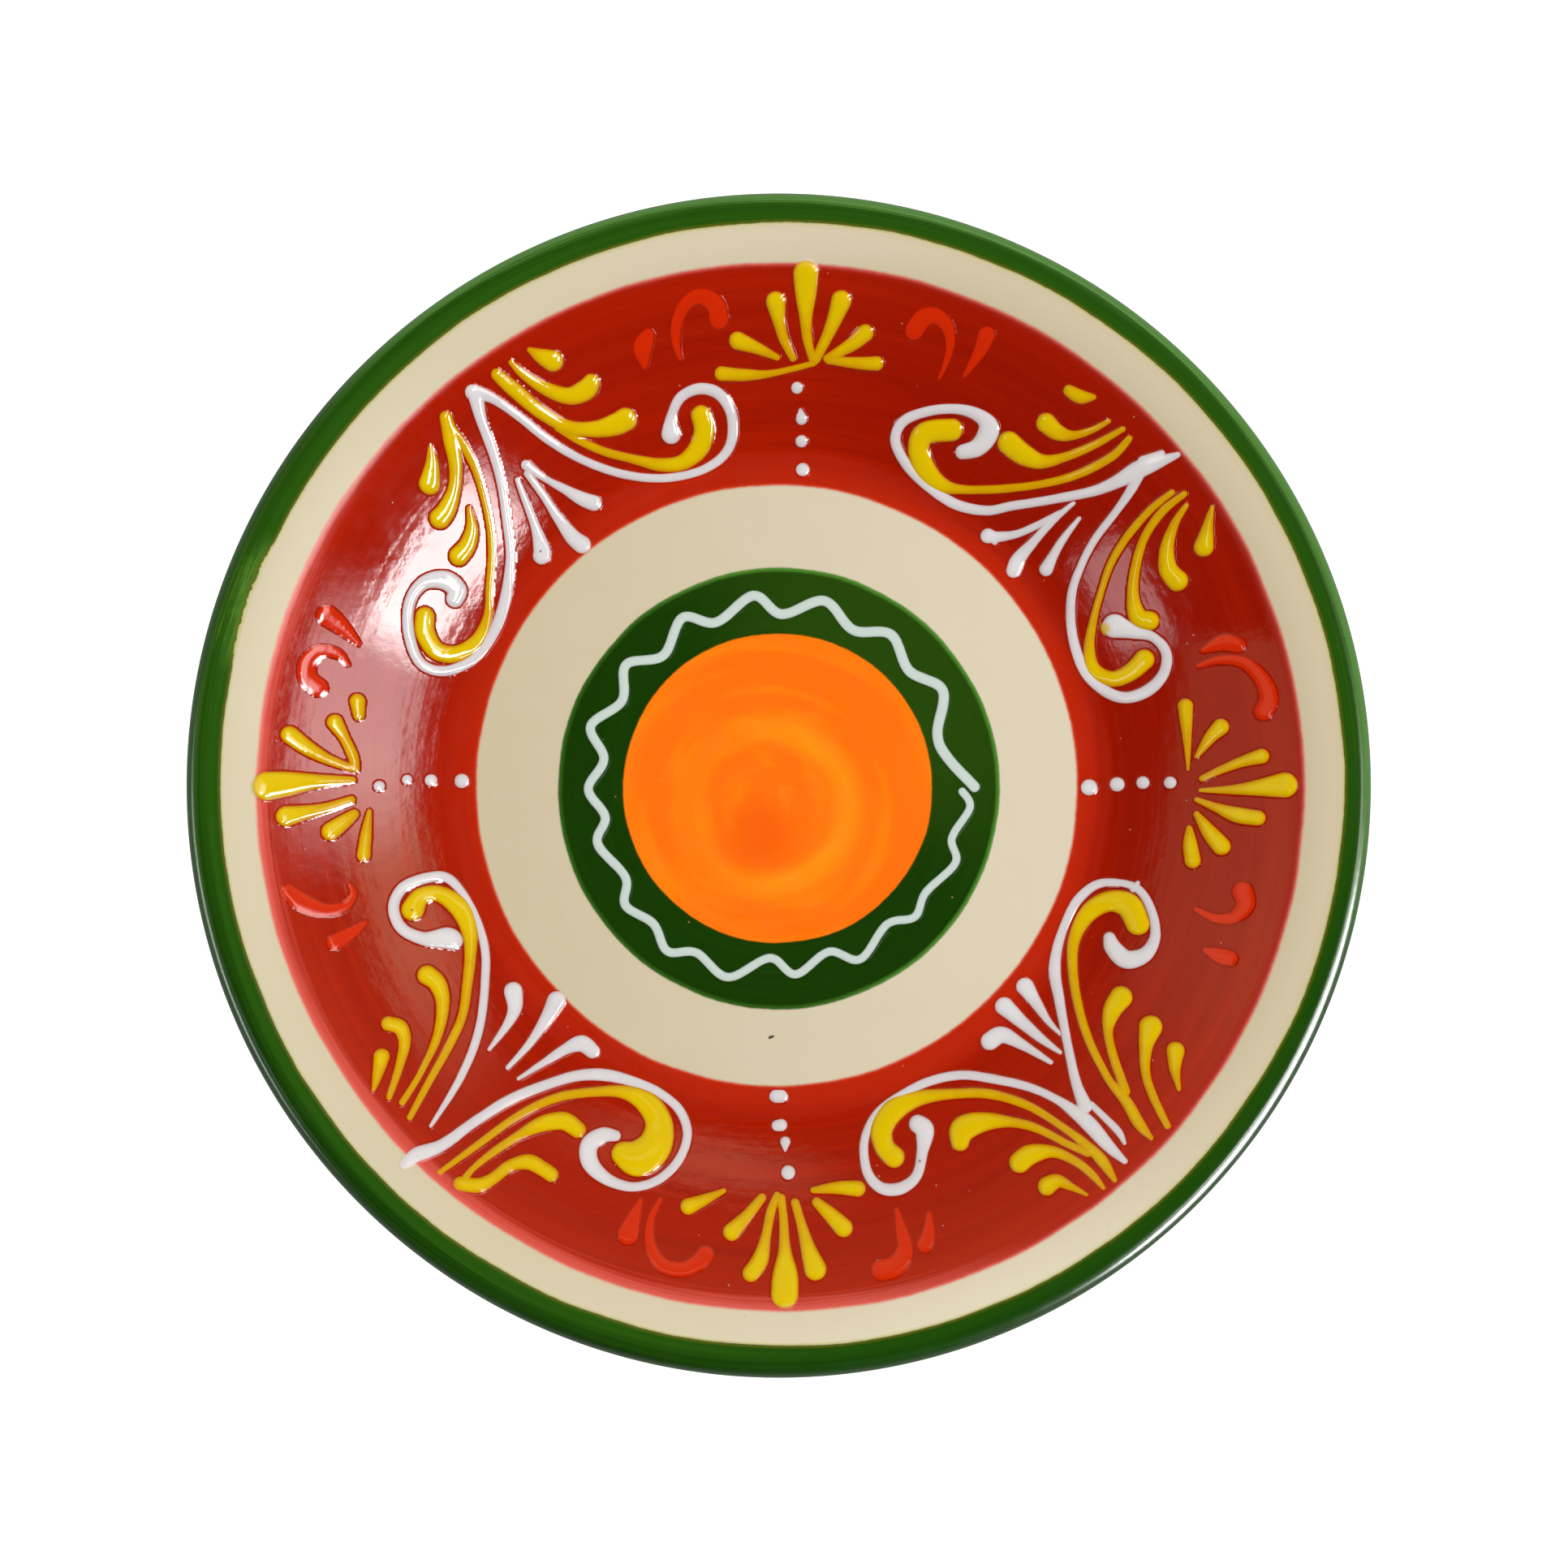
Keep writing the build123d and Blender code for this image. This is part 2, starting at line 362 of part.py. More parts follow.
# The lower rounding of the lip is tangent to the outer edge and to the underside of the rim
_under = BODY_THICKNESS - LIP_RADIUS
_step = LIP_RADIUS * sin(RIM_SLOPE)
under_lip_radius = (_under - _step) / (1 - sin(RIM_SLOPE))
under_lip_centre = (PLATE_RADIUS - under_lip_radius, lip_centre[1])


def arc(centre, radius, slope_from, slope_to, side):
    """An arc of the meridian, between two slopes."""
    slopes = (slope_from, (slope_from + slope_to) / 2, slope_to)
    return ThreePointArc(*[on_arc(centre, radius, s, side) for s in slopes])


def meridian(depth):
    """Edges of the surface that lies depth below the upper glaze, from the axis out to the lip."""
    start = (0, FLOOR_Z - depth)
    return [
        Line(start, (FLOOR_RADIUS, FLOOR_Z - depth)),
        arc(knee_centre, KNEE_RADIUS + depth, 0, WALL_FOOT_SLOPE, -1),
        arc(wall_centre, wall_radius + depth, WALL_FOOT_SLOPE, WALL_TOP_SLOPE, -1),
        arc(shoulder_centre, shoulder_radius - depth, WALL_TOP_SLOPE, RIM_SLOPE, 1),
    ]


def lip(depth):
    """Edges round the lip and a little way back under it, depth inside its glaze."""
    quarter_turn = radians(90)
    under = arc(under_lip_centre, under_lip_radius - depth, quarter_turn, RIM_SLOPE, -1)
    inner_end = on_arc(shoulder_centre, shoulder_radius - BODY_THICKNESS + depth, RIM_SLOPE, 1)
    return [
        arc(lip_centre, LIP_RADIUS - depth, RIM_SLOPE, -quarter_turn, 1),
        under,
        Line(under @ 1, inner_end),
    ]


def face_between(first, second):
    """A plane face bounded by two chains of edges and the straight lines that join their ends."""
    ends = [
        Line(first[0] @ 0, second[0] @ 0),
        Line(first[-1] @ 1, second[-1] @ 1),
    ]
    return make_face([*first, *second, *ends])


def turned(section):
    """The solid of revolution of a section drawn with X as the radius and Y as the height."""
    return revolve(Plane.XZ * section, Axis.Z)


def radial_window(inner, outer):
    """A tall rectangle that cuts a section down to a span of radii."""
    height = 4 * PLATE_RADIUS
    return Pos((inner + outer) / 2, 0) * Rectangle(outer - inner, height)


def clay_section():
    """Biscuit body: floor, wall and lip with the glaze taken off, plus the bare foot ring."""
    upper = meridian(GLAZE) + lip(GLAZE)
    lower = meridian(BODY_THICKNESS - GLAZE)
    body = make_face([*upper, *lower, Line(upper[0] @ 0, lower[0] @ 0)])
    top = FLOOR_Z - BODY_THICKNESS + 2 * GLAZE
    foot = make_face(
        FilletPolyline(
            (FOOT_INNER_R, top),
            (FOOT_INNER_R + FOOT_DRAFT, 0),
            (FOOT_OUTER_R - FOOT_DRAFT, 0),
            (FOOT_OUTER_R, top),
            radius=FOOT_ROUNDING,
        ).edges()
        + Line((FOOT_OUTER_R, top), (FOOT_INNER_R, top)).edges()
    )
    return body + foot


def coats():
    """The glaze coats, each a thin turned skin: name to section."""
    upper = face_between(meridian(0) + lip(0), meridian(GLAZE) + lip(GLAZE))
    lower = face_between(meridian(BODY_THICKNESS), meridian(BODY_THICKNESS - GLAZE))
    edges = {
        "orange_centre": (0, ORANGE_R),
        "dark_green_ring": (ORANGE_R, DARK_GREEN_R),
        "inner_cream_ring": (DARK_GREEN_R, INNER_CREAM_R),
        "red_band": (INNER_CREAM_R, RED_R),
        "outer_cream_ring": (RED_R, OUTER_CREAM_R),
        "green_rim": (OUTER_CREAM_R, PLATE_RADIUS + 1),
    }
    sections = {name: upper & radial_window(*span) for name, span in edges.items()}
    sections["foot_well_glaze"] = lower & radial_window(0, FOOT_INNER_R)
    sections["back_glaze"] = lower & radial_window(FOOT_OUTER_R, PLATE_RADIUS)
    return sections


# ---------------------------------------------------------------- the slip as solids
def rounded_taper(first, second):
    """The plan of a straight run of slip: two circles and the tangents that join them."""
    (x1, y1, r1), (x2, y2, r2) = first, second
    length = hypot(x2 - x1, y2 - y1)
    along = Vector((x2 - x1) / length, (y2 - y1) / length)
    across = Vector(-along.Y, along.X)
    lean = (r1 - r2) / length
    spread = (1 - lean * lean) ** 0.5
    left = along * lean + across * spread
    right = along * lean - across * spread
    p1, p2 = Vector(x1, y1), Vector(x2, y2)
    near = ThreePointArc(p1 + right * r1, p1 - along * r1, p1 + left * r1)
    far = ThreePointArc(p2 + left * r2, p2 + along * r2, p2 + right * r2)
    return make_face([near, Line(near @ 1, far @ 0), far, Line(far @ 1, near @ 0)])


def flowing(stations):
    """The plan of a curved stroke: two flowing sides and round ends."""
    centre = Spline(*[(x, y) for x, y, _ in stations])
    points = [Vector(x, y) for x, y, _ in stations]
    directions = [centre.tangent_at(p) for p in points]
    across = [Vector(-d.Y, d.X) for d in directions]
    widths = [w for _, _, w in stations]
    left = [p + n * w for p, n, w in zip(points, across, widths)]
    right = [p - n * w for p, n, w in zip(points, across, widths)]
    start, end = directions[0], directions[-1]
    sides = [Spline(*left, tangents=(start, end)), Spline(*right, tangents=(start, end))]
    caps = [
        ThreePointArc(left[0], points[0] - start * widths[0], right[0]),
        ThreePointArc(left[-1], points[-1] + end * widths[-1], right[-1]),
    ]
    return make_face([sides[0], caps[1], sides[1], caps[0]])


def jointed(stations):
    """The plan of a stroke that turns more tightly than its own half width: a chain of tapers."""
    plan = rounded_taper(*stations[:2])
    for first, second in zip(stations[1:], stations[2:]):
        plan = plan + rounded_taper(first, second)
    return plan


def stroke_plan(stations):
    """The plan of one stroke, from its stations."""
    if len(stations) == 1:
        x, y, width = stations[0]
        return Pos(x, y) * Circle(width)
    if len(stations) == 2:
        return rounded_taper(*stations)
    plan = flowing(stations)
    return plan if plan.is_valid else jointed(stations)


def strokes_plan(strokes):
    """The plan of a group of strokes; those that cross run together."""
    plan = stroke_plan(strokes[0])
    for stations in strokes[1:]:
        plan = plan + stroke_plan(stations)
    return plan


def wavy_stations():
    """The wavy line's stations; its width changes evenly from one end to the other."""
    first, last = WAVY_HALF_WIDTHS
    steps = len(WAVY_POINTS) - 1
    return [(x, y, first + (last - first) * i / steps) for i, (x, y) in enumerate(WAVY_POINTS)]


def slip_plans():
    """Every raised piece of slip: name to plan, with no piece over another."""
    plans = {"wavy_line": stroke_plan(wavy_stations())}
    for side, strokes in SPRAYS.items():
        plans[side + "_spray"] = strokes_plan(strokes)
    for side, strokes in DOTS.items():
        plans[side + "_dots"] = strokes_plan(strokes)
    for side, strokes in COMMAS.items():
        plans[side + "_commas"] = strokes_plan(strokes)
    for corner, strokes in SCROLLS.items():
        scrolls = strokes_plan(strokes)
        fan = strokes_plan(FANS[corner]) - scrolls
        plans[corner + "_scrolls"] = scrolls
        plans[corner + "_fan"] = fan
        taken = scrolls + fan
        for side, leaves in zip((corner[:5], corner[5:]), LEAVES[corner]):
            plan = strokes_plan(leaves) - taken
            plans[corner + "_leaves_" + side] = plan
            taken = taken + plan
    return plans


def raised(plan, shell):
    """The slip of a plan, standing on the glaze by the thickness of the relief shell."""
    faces = [f for f in plan.faces() if f.area > SMALLEST_SCRAP]
    return [extrude(f, amount=2 * PLATE_RADIUS, dir=(0, 0, 1)) & shell for f in faces]


# ---------------------------------------------------------------- writing the parts
os.makedirs("parts", exist_ok=True)


def write(name, shape):
    """Write one sub-part and say how large it is."""
    export_step(shape, os.path.join("parts", name + ".step"))
    print(name, len(shape.solids()), "solids,", round(shape.volume, 2), "mm3")


write("clay_body", turned(clay_section()))
for coat, section in coats().items():
    write(coat, turned(section))

relief_shell = turned(face_between(meridian(-RELIEF), meridian(0)))
for piece, piece_plan in slip_plans().items():
    solids = [s for shape in raised(piece_plan, relief_shell) for s in shape.solids()]
    write(piece, solids[0] if len(solids) == 1 else Compound(children=solids))
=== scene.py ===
import bpy
import math
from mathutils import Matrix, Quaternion, Vector


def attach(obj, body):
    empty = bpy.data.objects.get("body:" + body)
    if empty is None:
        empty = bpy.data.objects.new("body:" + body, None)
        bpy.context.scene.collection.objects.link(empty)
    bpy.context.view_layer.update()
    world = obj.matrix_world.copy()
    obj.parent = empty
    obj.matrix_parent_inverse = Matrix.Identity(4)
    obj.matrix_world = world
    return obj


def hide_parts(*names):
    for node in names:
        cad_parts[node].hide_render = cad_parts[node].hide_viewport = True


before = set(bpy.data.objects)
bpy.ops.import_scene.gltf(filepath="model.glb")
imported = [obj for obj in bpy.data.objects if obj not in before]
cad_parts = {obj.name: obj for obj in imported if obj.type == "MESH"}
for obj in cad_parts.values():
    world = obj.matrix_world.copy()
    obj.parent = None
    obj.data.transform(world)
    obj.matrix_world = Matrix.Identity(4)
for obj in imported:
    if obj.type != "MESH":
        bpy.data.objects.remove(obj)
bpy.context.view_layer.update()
mm = 0.001


# small helpers for node trees
def setInput(tree, socket, value):
    if isinstance(value, bpy.types.NodeSocket):
        tree.links.new(value, socket)
    else:
        socket.default_value = value


def addNode(tree, kind, inputs=None, **settings):
    node = tree.nodes.new(kind)
    for key, value in settings.items():
        setattr(node, key, value)
    for key, value in (inputs or {}).items():
        setInput(tree, node.inputs[key], value)
    return node


def calc(tree, operation, first, second=0.0, third=0.0, clamp=False):
    inputs = {0: first, 1: second, 2: third}
    return addNode(tree, "ShaderNodeMath", inputs, operation=operation, use_clamp=clamp).outputs[0]


def addUp(tree, terms, clamp=False):
    total = terms[0]
    for term in terms[1:-1]:
        total = calc(tree, "ADD", total, term)
    return calc(tree, "ADD", total, terms[-1], clamp=clamp)


def vectorCalc(tree, operation, first, second=(0.0, 0.0, 0.0)):
    node = addNode(tree, "ShaderNodeVectorMath", {0: first, 1: second}, operation=operation)
    return node.outputs["Value" if operation in ("LENGTH", "DISTANCE") else "Vector"]


def splitAxes(tree, vector):
    return addNode(tree, "ShaderNodeSeparateXYZ", {"Vector": vector}).outputs


def joinAxes(tree, x=0.0, y=0.0, z=0.0):
    return addNode(tree, "ShaderNodeCombineXYZ", {"X": x, "Y": y, "Z": z}).outputs[0]


def ramp(tree, value, low, high, toLow=0.0, toHigh=1.0):
    # a smooth step from toLow to toHigh while value goes from low to high
    inputs = {"Value": value, "From Min": low, "From Max": high, "To Min": toLow, "To Max": toHigh}
    return addNode(tree, "ShaderNodeMapRange", inputs, interpolation_type="SMOOTHSTEP").outputs[0]


def noise(tree, place, scale, detail=2.0, rough=0.5):
    inputs = {"Vector": place, "Scale": scale, "Detail": detail, "Roughness": rough}
    return addNode(tree, "ShaderNodeTexNoise", inputs).outputs[0]


def specks(tree, place, scale, channel, rarity, largest, core):
    # a mask of round specks, few of them large, and the random colour of each
    cells = addNode(tree, "ShaderNodeTexVoronoi", {"Vector": place, "Scale": scale}, feature="F1")
    pick = addNode(tree, "ShaderNodeSeparateColor", {"Color": cells.outputs["Color"]})
    size = calc(tree, "MULTIPLY", calc(tree, "POWER", pick.outputs[channel], rarity), largest)
    mask = ramp(tree, cells.outputs["Distance"], calc(tree, "MULTIPLY", size, core), size, 1.0, 0.0)
    return mask, pick


def mix(tree, factor, first, second):
    inputs = {0: factor, 6: first, 7: second}
    return addNode(tree, "ShaderNodeMix", inputs, data_type="RGBA", blend_type="MIX").outputs[2]


def tint(tree, mask, strength, base, colour):
    return mix(tree, calc(tree, "MULTIPLY", mask, strength), base, colour)


def bumpFrom(tree, height, strength=1.0):
    inputs = {"Strength": strength, "Distance": 1.0, "Height": height}
    return addNode(tree, "ShaderNodeBump", inputs).outputs[0]


studioLift = 0.84  # paint as it is under this studio's bright light, from paint as it looks


def paint(red, green, blue):
    # a screen colour, 0 to 255, as the linear colour that a shader wants
    channels = []
    for value in (red, green, blue):
        value = value / 255
        linear = value / 12.92 if value <= 0.04045 else ((value + 0.055) / 1.055) ** 2.4
        channels.append(min(linear * studioLift, 1.0))
    return (*channels, 1.0)


def newTree(name, kind, sockets):
    tree = bpy.data.node_groups.new(name, kind)
    for direction, socketName, socketType, value in sockets:
        item = tree.interface.new_socket(socketName, in_out=direction, socket_type=socketType)
        if value is not None:
            item.default_value = value
    start = tree.nodes.new("NodeGroupInput").outputs
    end = tree.nodes.new("NodeGroupOutput").inputs
    return tree, start, end


def runTree(mesh, name, tree, values, node):
    # puts the tree on a mesh, sets its inputs by identifier, and keeps the plain mesh that comes out
    source = bpy.data.objects.new(name + "Source", mesh)
    bpy.context.scene.collection.objects.link(source)
    modifier = source.modifiers.new("nodes", "NODES")
    modifier.node_group = tree
    for item in tree.interface.items_tree:
        if item.item_type == "SOCKET" and item.in_out == "INPUT" and item.name in values:
            modifier[item.identifier] = values[item.name]
    source.update_tag()
    bpy.context.view_layer.update()
    depsgraph = bpy.context.evaluated_depsgraph_get()
    made = bpy.data.meshes.new_from_object(
        source.evaluated_get(depsgraph), preserve_all_data_layers=True, depsgraph=depsgraph)
    bpy.data.objects.remove(source)
    piece = bpy.data.objects.new(name, made)
    made.name = name
    bpy.context.scene.collection.objects.link(piece)
    if not made.materials:
        made.materials.append(values["Finish"])
    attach(piece, "root")
    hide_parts(node)
    return piece


# the turned body: sizes in millimetres, slopes in degrees
plate = {
    "radius": 100.0,
    "floorHeight": 7.8,
    "floorRadius": 55.25,
    "thickness": 5.0,
    "glaze": 0.3,
    "wallFootSlope": 26,
    "wallTopSlope": 36,
    "rimSlope": 12,
    "kneeRadius": 8.0,
    "wallTopRadius": 88.0,
    "lipRadius": 3.0,
    "footOuter": 56.5,
    "footInner": 50.5,
    "footDraft": 0.6,
    "footRounding": 0.8,
    "segments": 720,
    "claySegments": 360,
}
beyond = 200  # a radius outside the plate
# plan radii where one coat meets the next
coatEdges = {
    "orange": 26.6,
    "darkGreen": 38.0,
    "innerCream": 51.7,
    "red": 88.8,
    "outerCream": 94.6,
}


def onArc(centre, radius, slope, side):
    return (centre[0] - side * radius * math.sin(slope), centre[1] + side * radius * math.cos(slope))


def arcPoints(centre, radius, slopeFrom, slopeTo, side, count):
    return [onArc(centre, radius, slopeFrom + (slopeTo - slopeFrom) * i / count, side)
            for i in range(count + 1)]


footSlope = math.radians(plate["wallFootSlope"])
topSlope = math.radians(plate["wallTopSlope"])
rimSlope = math.radians(plate["rimSlope"])
lipStart = plate["radius"] - plate["lipRadius"] * (1 + math.sin(rimSlope))
kneeCentre = (plate["floorRadius"], plate["floorHeight"] + plate["kneeRadius"])
wallFoot = onArc(kneeCentre, plate["kneeRadius"], footSlope, -1)
wallRadius = (plate["wallTopRadius"] - wallFoot[0]) / (math.sin(topSlope) - math.sin(footSlope))
wallCentre = (wallFoot[0] - wallRadius * math.sin(footSlope), wallFoot[1] + wallRadius * math.cos(footSlope))
wallTop = onArc(wallCentre, wallRadius, topSlope, -1)
shoulderRadius = (lipStart - plate["wallTopRadius"]) / (math.sin(topSlope) - math.sin(rimSlope))
shoulderCentre = (wallTop[0] + shoulderRadius * math.sin(topSlope),
                  wallTop[1] - shoulderRadius * math.cos(topSlope))
lipTop = onArc(shoulderCentre, shoulderRadius, rimSlope, 1)
lipCentre = (plate["radius"] - plate["lipRadius"], lipTop[1] - plate["lipRadius"] * math.cos(rimSlope))
underLip = ((plate["thickness"] - plate["lipRadius"] - plate["lipRadius"] * math.sin(rimSlope))
            / (1 - math.sin(rimSlope)))
underCentre = (plate["radius"] - underLip, lipCentre[1])


def meridian(depth):
    # the surface that lies depth below the upper glaze, from the axis out to the lip
    floor = plate["floorHeight"] - depth
    chain = [(plate["floorRadius"] * i / 24, floor) for i in range(24)]
    chain += arcPoints(kneeCentre, plate["kneeRadius"] + depth, 0, footSlope, -1, 16)
    chain += arcPoints(wallCentre, wallRadius + depth, footSlope, topSlope, -1, 34)[1:]
    chain += arcPoints(shoulderCentre, shoulderRadius - depth, topSlope, rimSlope, 1, 16)[1:]
    return chain


def lip(depth):
    # round the lip and a little way back under it
    quarter = math.pi / 2
    chain = arcPoints(lipCentre, plate["lipRadius"] - depth, rimSlope, -quarter, 1, 26)[1:]
    chain += arcPoints(underCentre, underLip - depth, quarter, rimSlope, -1, 16)[1:]
    chain.append(onArc(shoulderCentre, shoulderRadius - plate["thickness"] + depth, rimSlope, 1))
    return chain


def between(chain, low, high):
    # the part of an outward chain between two radii, with its end points exactly on them
    kept = []
    for first, second in zip(chain, chain[1:]):
        for limit in (low, high):
            if first[0] < limit < second[0]:
                share = (limit - first[0]) / (second[0] - first[0])
                kept.append((limit, first[1] + share * (second[1] - first[1])))
        if low <= second[0] <= high:
            kept.append(second)
    if low <= chain[0][0]:
        kept.insert(0, chain[0])
    return kept


def coatSection(low, high):
    upper = between(meridian(0), low, high)
    inner = between(meridian(plate["glaze"]), low, high)
    return upper + inner[::-1]


def rimSection():
    edge = coatEdges["outerCream"]
    upper = between(meridian(0), edge, beyond) + lip(0)
    inner = between(meridian(plate["glaze"]), edge, beyond) + lip(plate["glaze"])
    return upper + inner[::-1]


def backSection(low, high):
    outer = between(meridian(plate["thickness"]), low, high)
    inner = between(meridian(plate["thickness"] - plate["glaze"]), low, high)
    return inner + outer[::-1]


def roundedCorner(corner, before, after, radius, count=6):
    # points round a corner of the foot ring
    toBefore = (Vector(before) - Vector(corner)).normalized()
    toAfter = (Vector(after) - Vector(corner)).normalized()
    half = toBefore.angle(toAfter) / 2
    reach = radius / math.tan(half)
    centre = Vector(corner) + (toBefore + toAfter).normalized() * radius / math.sin(half)
    start = Vector(corner) + toBefore * reach - centre
    end = Vector(corner) + toAfter * reach - centre
    points = []
    for i in range(count + 1):
        spoke = start.lerp(end, i / count).normalized() * radius
        points.append(tuple(centre + spoke))
    return points


def claySection():
    glaze = plate["glaze"]
    upper = meridian(glaze) + lip(glaze)
    under = meridian(plate["thickness"] - glaze)[::-1]
    seat = plate["floorHeight"] - plate["thickness"] + glaze
    outer, inner = plate["footOuter"], plate["footInner"]
    draft, rounding = plate["footDraft"], plate["footRounding"]
    outerCorner, innerCorner = (outer - draft, 0.0), (inner + draft, 0.0)
    onKnee = between(meridian(plate["thickness"] - glaze), 0, outer)[-1]
    foot = [onKnee]
    foot += roundedCorner(outerCorner, (outer, seat), innerCorner, rounding)
    foot += roundedCorner(innerCorner, outerCorner, (inner, seat), rounding)
    foot.append((inner, seat))
    outside = [p for p in under if p[0] > outer]
    inside = [p for p in under if p[0] < inner]
    return upper + outside[1:] + foot + inside


# a closed section, turned about the plate's axis: the section's corners are the input mesh's points
def buildTurnedTree():
    tree, start, end = newTree("turnedOnWheel", "GeometryNodeTree", [
        ("INPUT", "Section", "NodeSocketGeometry", None),
        ("INPUT", "Segments", "NodeSocketInt", plate["segments"]),
        ("INPUT", "Sharp Angle", "NodeSocketFloat", 0.6),
        ("INPUT", "Finish", "NodeSocketMaterial", None),
        ("OUTPUT", "Geometry", "NodeSocketGeometry", None),
    ])
    size = addNode(tree, "GeometryNodeAttributeDomainSize", {"Geometry": start["Section"]}, component="MESH")
    rows = calc(tree, "ADD", size.outputs["Point Count"], 1)
    columns = calc(tree, "ADD", start["Segments"], 1)
    grid = addNode(tree, "GeometryNodeMeshGrid",
                   {"Size X": 1.0, "Size Y": 1.0, "Vertices X": rows, "Vertices Y": columns})
    index = addNode(tree, "GeometryNodeInputIndex").outputs[0]
    row = calc(tree, "FLOOR", calc(tree, "DIVIDE", calc(tree, "ADD", index, 0.5), columns))
    column = calc(tree, "SUBTRACT", index, calc(tree, "MULTIPLY", row, columns))
    corner = calc(tree, "FLOORED_MODULO", row, size.outputs["Point Count"])
    place = addNode(tree, "GeometryNodeInputPosition").outputs[0]
    sample = addNode(tree, "GeometryNodeSampleIndex",
                     {"Geometry": start["Section"], "Value": place, "Index": corner},
                     data_type="FLOAT_VECTOR", domain="POINT")
    split = addNode(tree, "ShaderNodeSeparateXYZ", {"Vector": sample.outputs[0]})
    angle = calc(tree, "MULTIPLY", calc(tree, "DIVIDE", column, start["Segments"]), 2 * math.pi)
    x = calc(tree, "MULTIPLY", split.outputs["X"], calc(tree, "COSINE", angle))
    y = calc(tree, "MULTIPLY", split.outputs["X"], calc(tree, "SINE", angle))
    spot = addNode(tree, "ShaderNodeCombineXYZ", {"X": x, "Y": y, "Z": split.outputs["Z"]})
    turned = addNode(tree, "GeometryNodeSetPosition",
                     {"Geometry": grid.outputs["Mesh"], "Position": spot.outputs[0]})
    closed = addNode(tree, "GeometryNodeMergeByDistance",
                     {"Geometry": turned.outputs[0], "Distance": 0.000002})
    edgeAngle = addNode(tree, "GeometryNodeInputMeshEdgeAngle").outputs["Unsigned Angle"]
    sharp = addNode(tree, "FunctionNodeCompare", data_type="FLOAT", operation="GREATER_THAN")
    setInput(tree, sharp.inputs[0], edgeAngle)
    setInput(tree, sharp.inputs[1], start["Sharp Angle"])
    smooth = addNode(tree, "GeometryNodeSetShadeSmooth",
                     {"Geometry": closed.outputs[0], "Shade Smooth": True}, domain="FACE")
    creased = addNode(tree, "GeometryNodeSetShadeSmooth",
                      {"Geometry": smooth.outputs[0], "Selection": sharp.outputs[0],
                       "Shade Smooth": False}, domain="EDGE")
    real = addNode(tree, "GeometryNodeRealizeInstances", {"Geometry": creased.outputs[0]})
    finished = addNode(tree, "GeometryNodeSetMaterial",
                       {"Geometry": real.outputs[0], "Material": start["Finish"]})
    tree.links.new(finished.outputs[0], end["Geometry"])
    return tree


def turnPiece(name, node, section, finish, segments=plate["segments"]):
    mesh = bpy.data.meshes.new(name + "Section")
    mesh.from_pydata([(r * mm, 0, z * mm) for r, z in section], [], [])
    return runTree(mesh, name, turnedTree, {"Segments": segments, "Finish": finish}, node)


# colours of the glazes, as they look on screen
colours = {
    "cream": paint(236, 223, 195),
    "creamShadedLeft": paint(220, 206, 172),
    "creamShadedRight": paint(218, 203, 169),
    "speck": paint(92, 66, 44),
    "spot": paint(48, 30, 16),
    "rimGreen": paint(38, 86, 6),
    "rimGreenLipShade": paint(18, 58, 2),
    "rimGreenShaded": paint(24, 72, 2),
    "rimGreenThinLit": paint(92, 150, 58),
    "rimStreak": paint(58, 112, 8),
    "rimPatch": paint(104, 152, 50),
    "olive": paint(98, 100, 10),
    "straw": paint(206, 200, 104),
    "redDeep": paint(160, 20, 1),
    "redBright": paint(198, 36, 2),
    "coral": paint(238, 98, 84),
    "coralInner": paint(226, 74, 40),
    "darkGreen": paint(22, 60, 2),
    "darkGreenStreak": paint(30, 72, 6),
    "darkGreenMoss": paint(52, 88, 14),
    "darkGreenEdge": paint(84, 146, 46),
    "orange": paint(275, 120, 0),
    "orangePale": paint(275, 156, 8),
    "orangeDeep": paint(266, 103, 0),
    "pinhole": paint(216, 170, 140),
}
# centre, radius and softness of each painted edge, in millimetres: brushed freehand, so off centre
bandEdges = {
    "rim": ((0.6, 0.27), 94.6, 0.18),
    "redOuter": ((0.27, -0.2), 88.6, 0.34),
    "redInner": ((-0.35, 0.0), 51.7, 0.3),
    "greenRing": ((0.0, -0.5), 38.05, 0.2),
    "orange": ((-0.2, -0.45), 26.6, 0.18),
}
# parts of the bands that differ from the rest: azimuth, half span and softness in degrees
sectors = {
    "creamShadedRight": (20, 40, 50),
    "rimOverlap": (161, 2, 6),
    "rimPatch": (161, 1, 7),
    "rimShaded": (310, 28, 30),
    "rimThinLit": (62, 58, 25),
    "redBright": (200, 110, 50),
    "redInnerBright": (-10, 60, 50),
    "coralSide": (220, 55, 28),
    "moss": (45, 20, 60),
    "paleRingEdge": (25, 60, 70),
    "orangeArc": (-5, 75, 70),
    "orangeHem": (120, 100, 60),
}
# brush lines: how quickly they change outwards, how quickly round the plate, and which lines
brushLines = {
    "rimShadeEdge": (0.9, 0.9, 3.0),
    "rimStreaks": (2.2, 1.6, 8.0),
    "rimThinLit": (2.6, 3.0, 30.0),
    "rimPatch": (2.6, 9.0, 50.0),
    "redBroad": (0.55, 1.3, 1.0),
    "redFine": (2.4, 2.2, 5.0),
    "darkGreen": (0.8, 1.2, 12.0),
    "throwing": (0.22, 0.5, 20.0),
}
# plan radii between which the glaze turns satin, or glossy again, and by how much
satinSteps = [(86.8, 89.0, 0.45), (93.0, 94.8, -0.41), (97.0, 98.4, 0.12)]
# a large dark speck in the inner cream ring: its centre in millimetres, and its turn
spot = {"centre": (-1.3, -43.3), "turn": -0.35, "stretch": (1.0, 2.3, 1.0)}
# burst bubbles in the slip, in plan
slipPinholes = [(24.1, -64.2), (-62.8, -21.3), (-41.0, 40.3)]


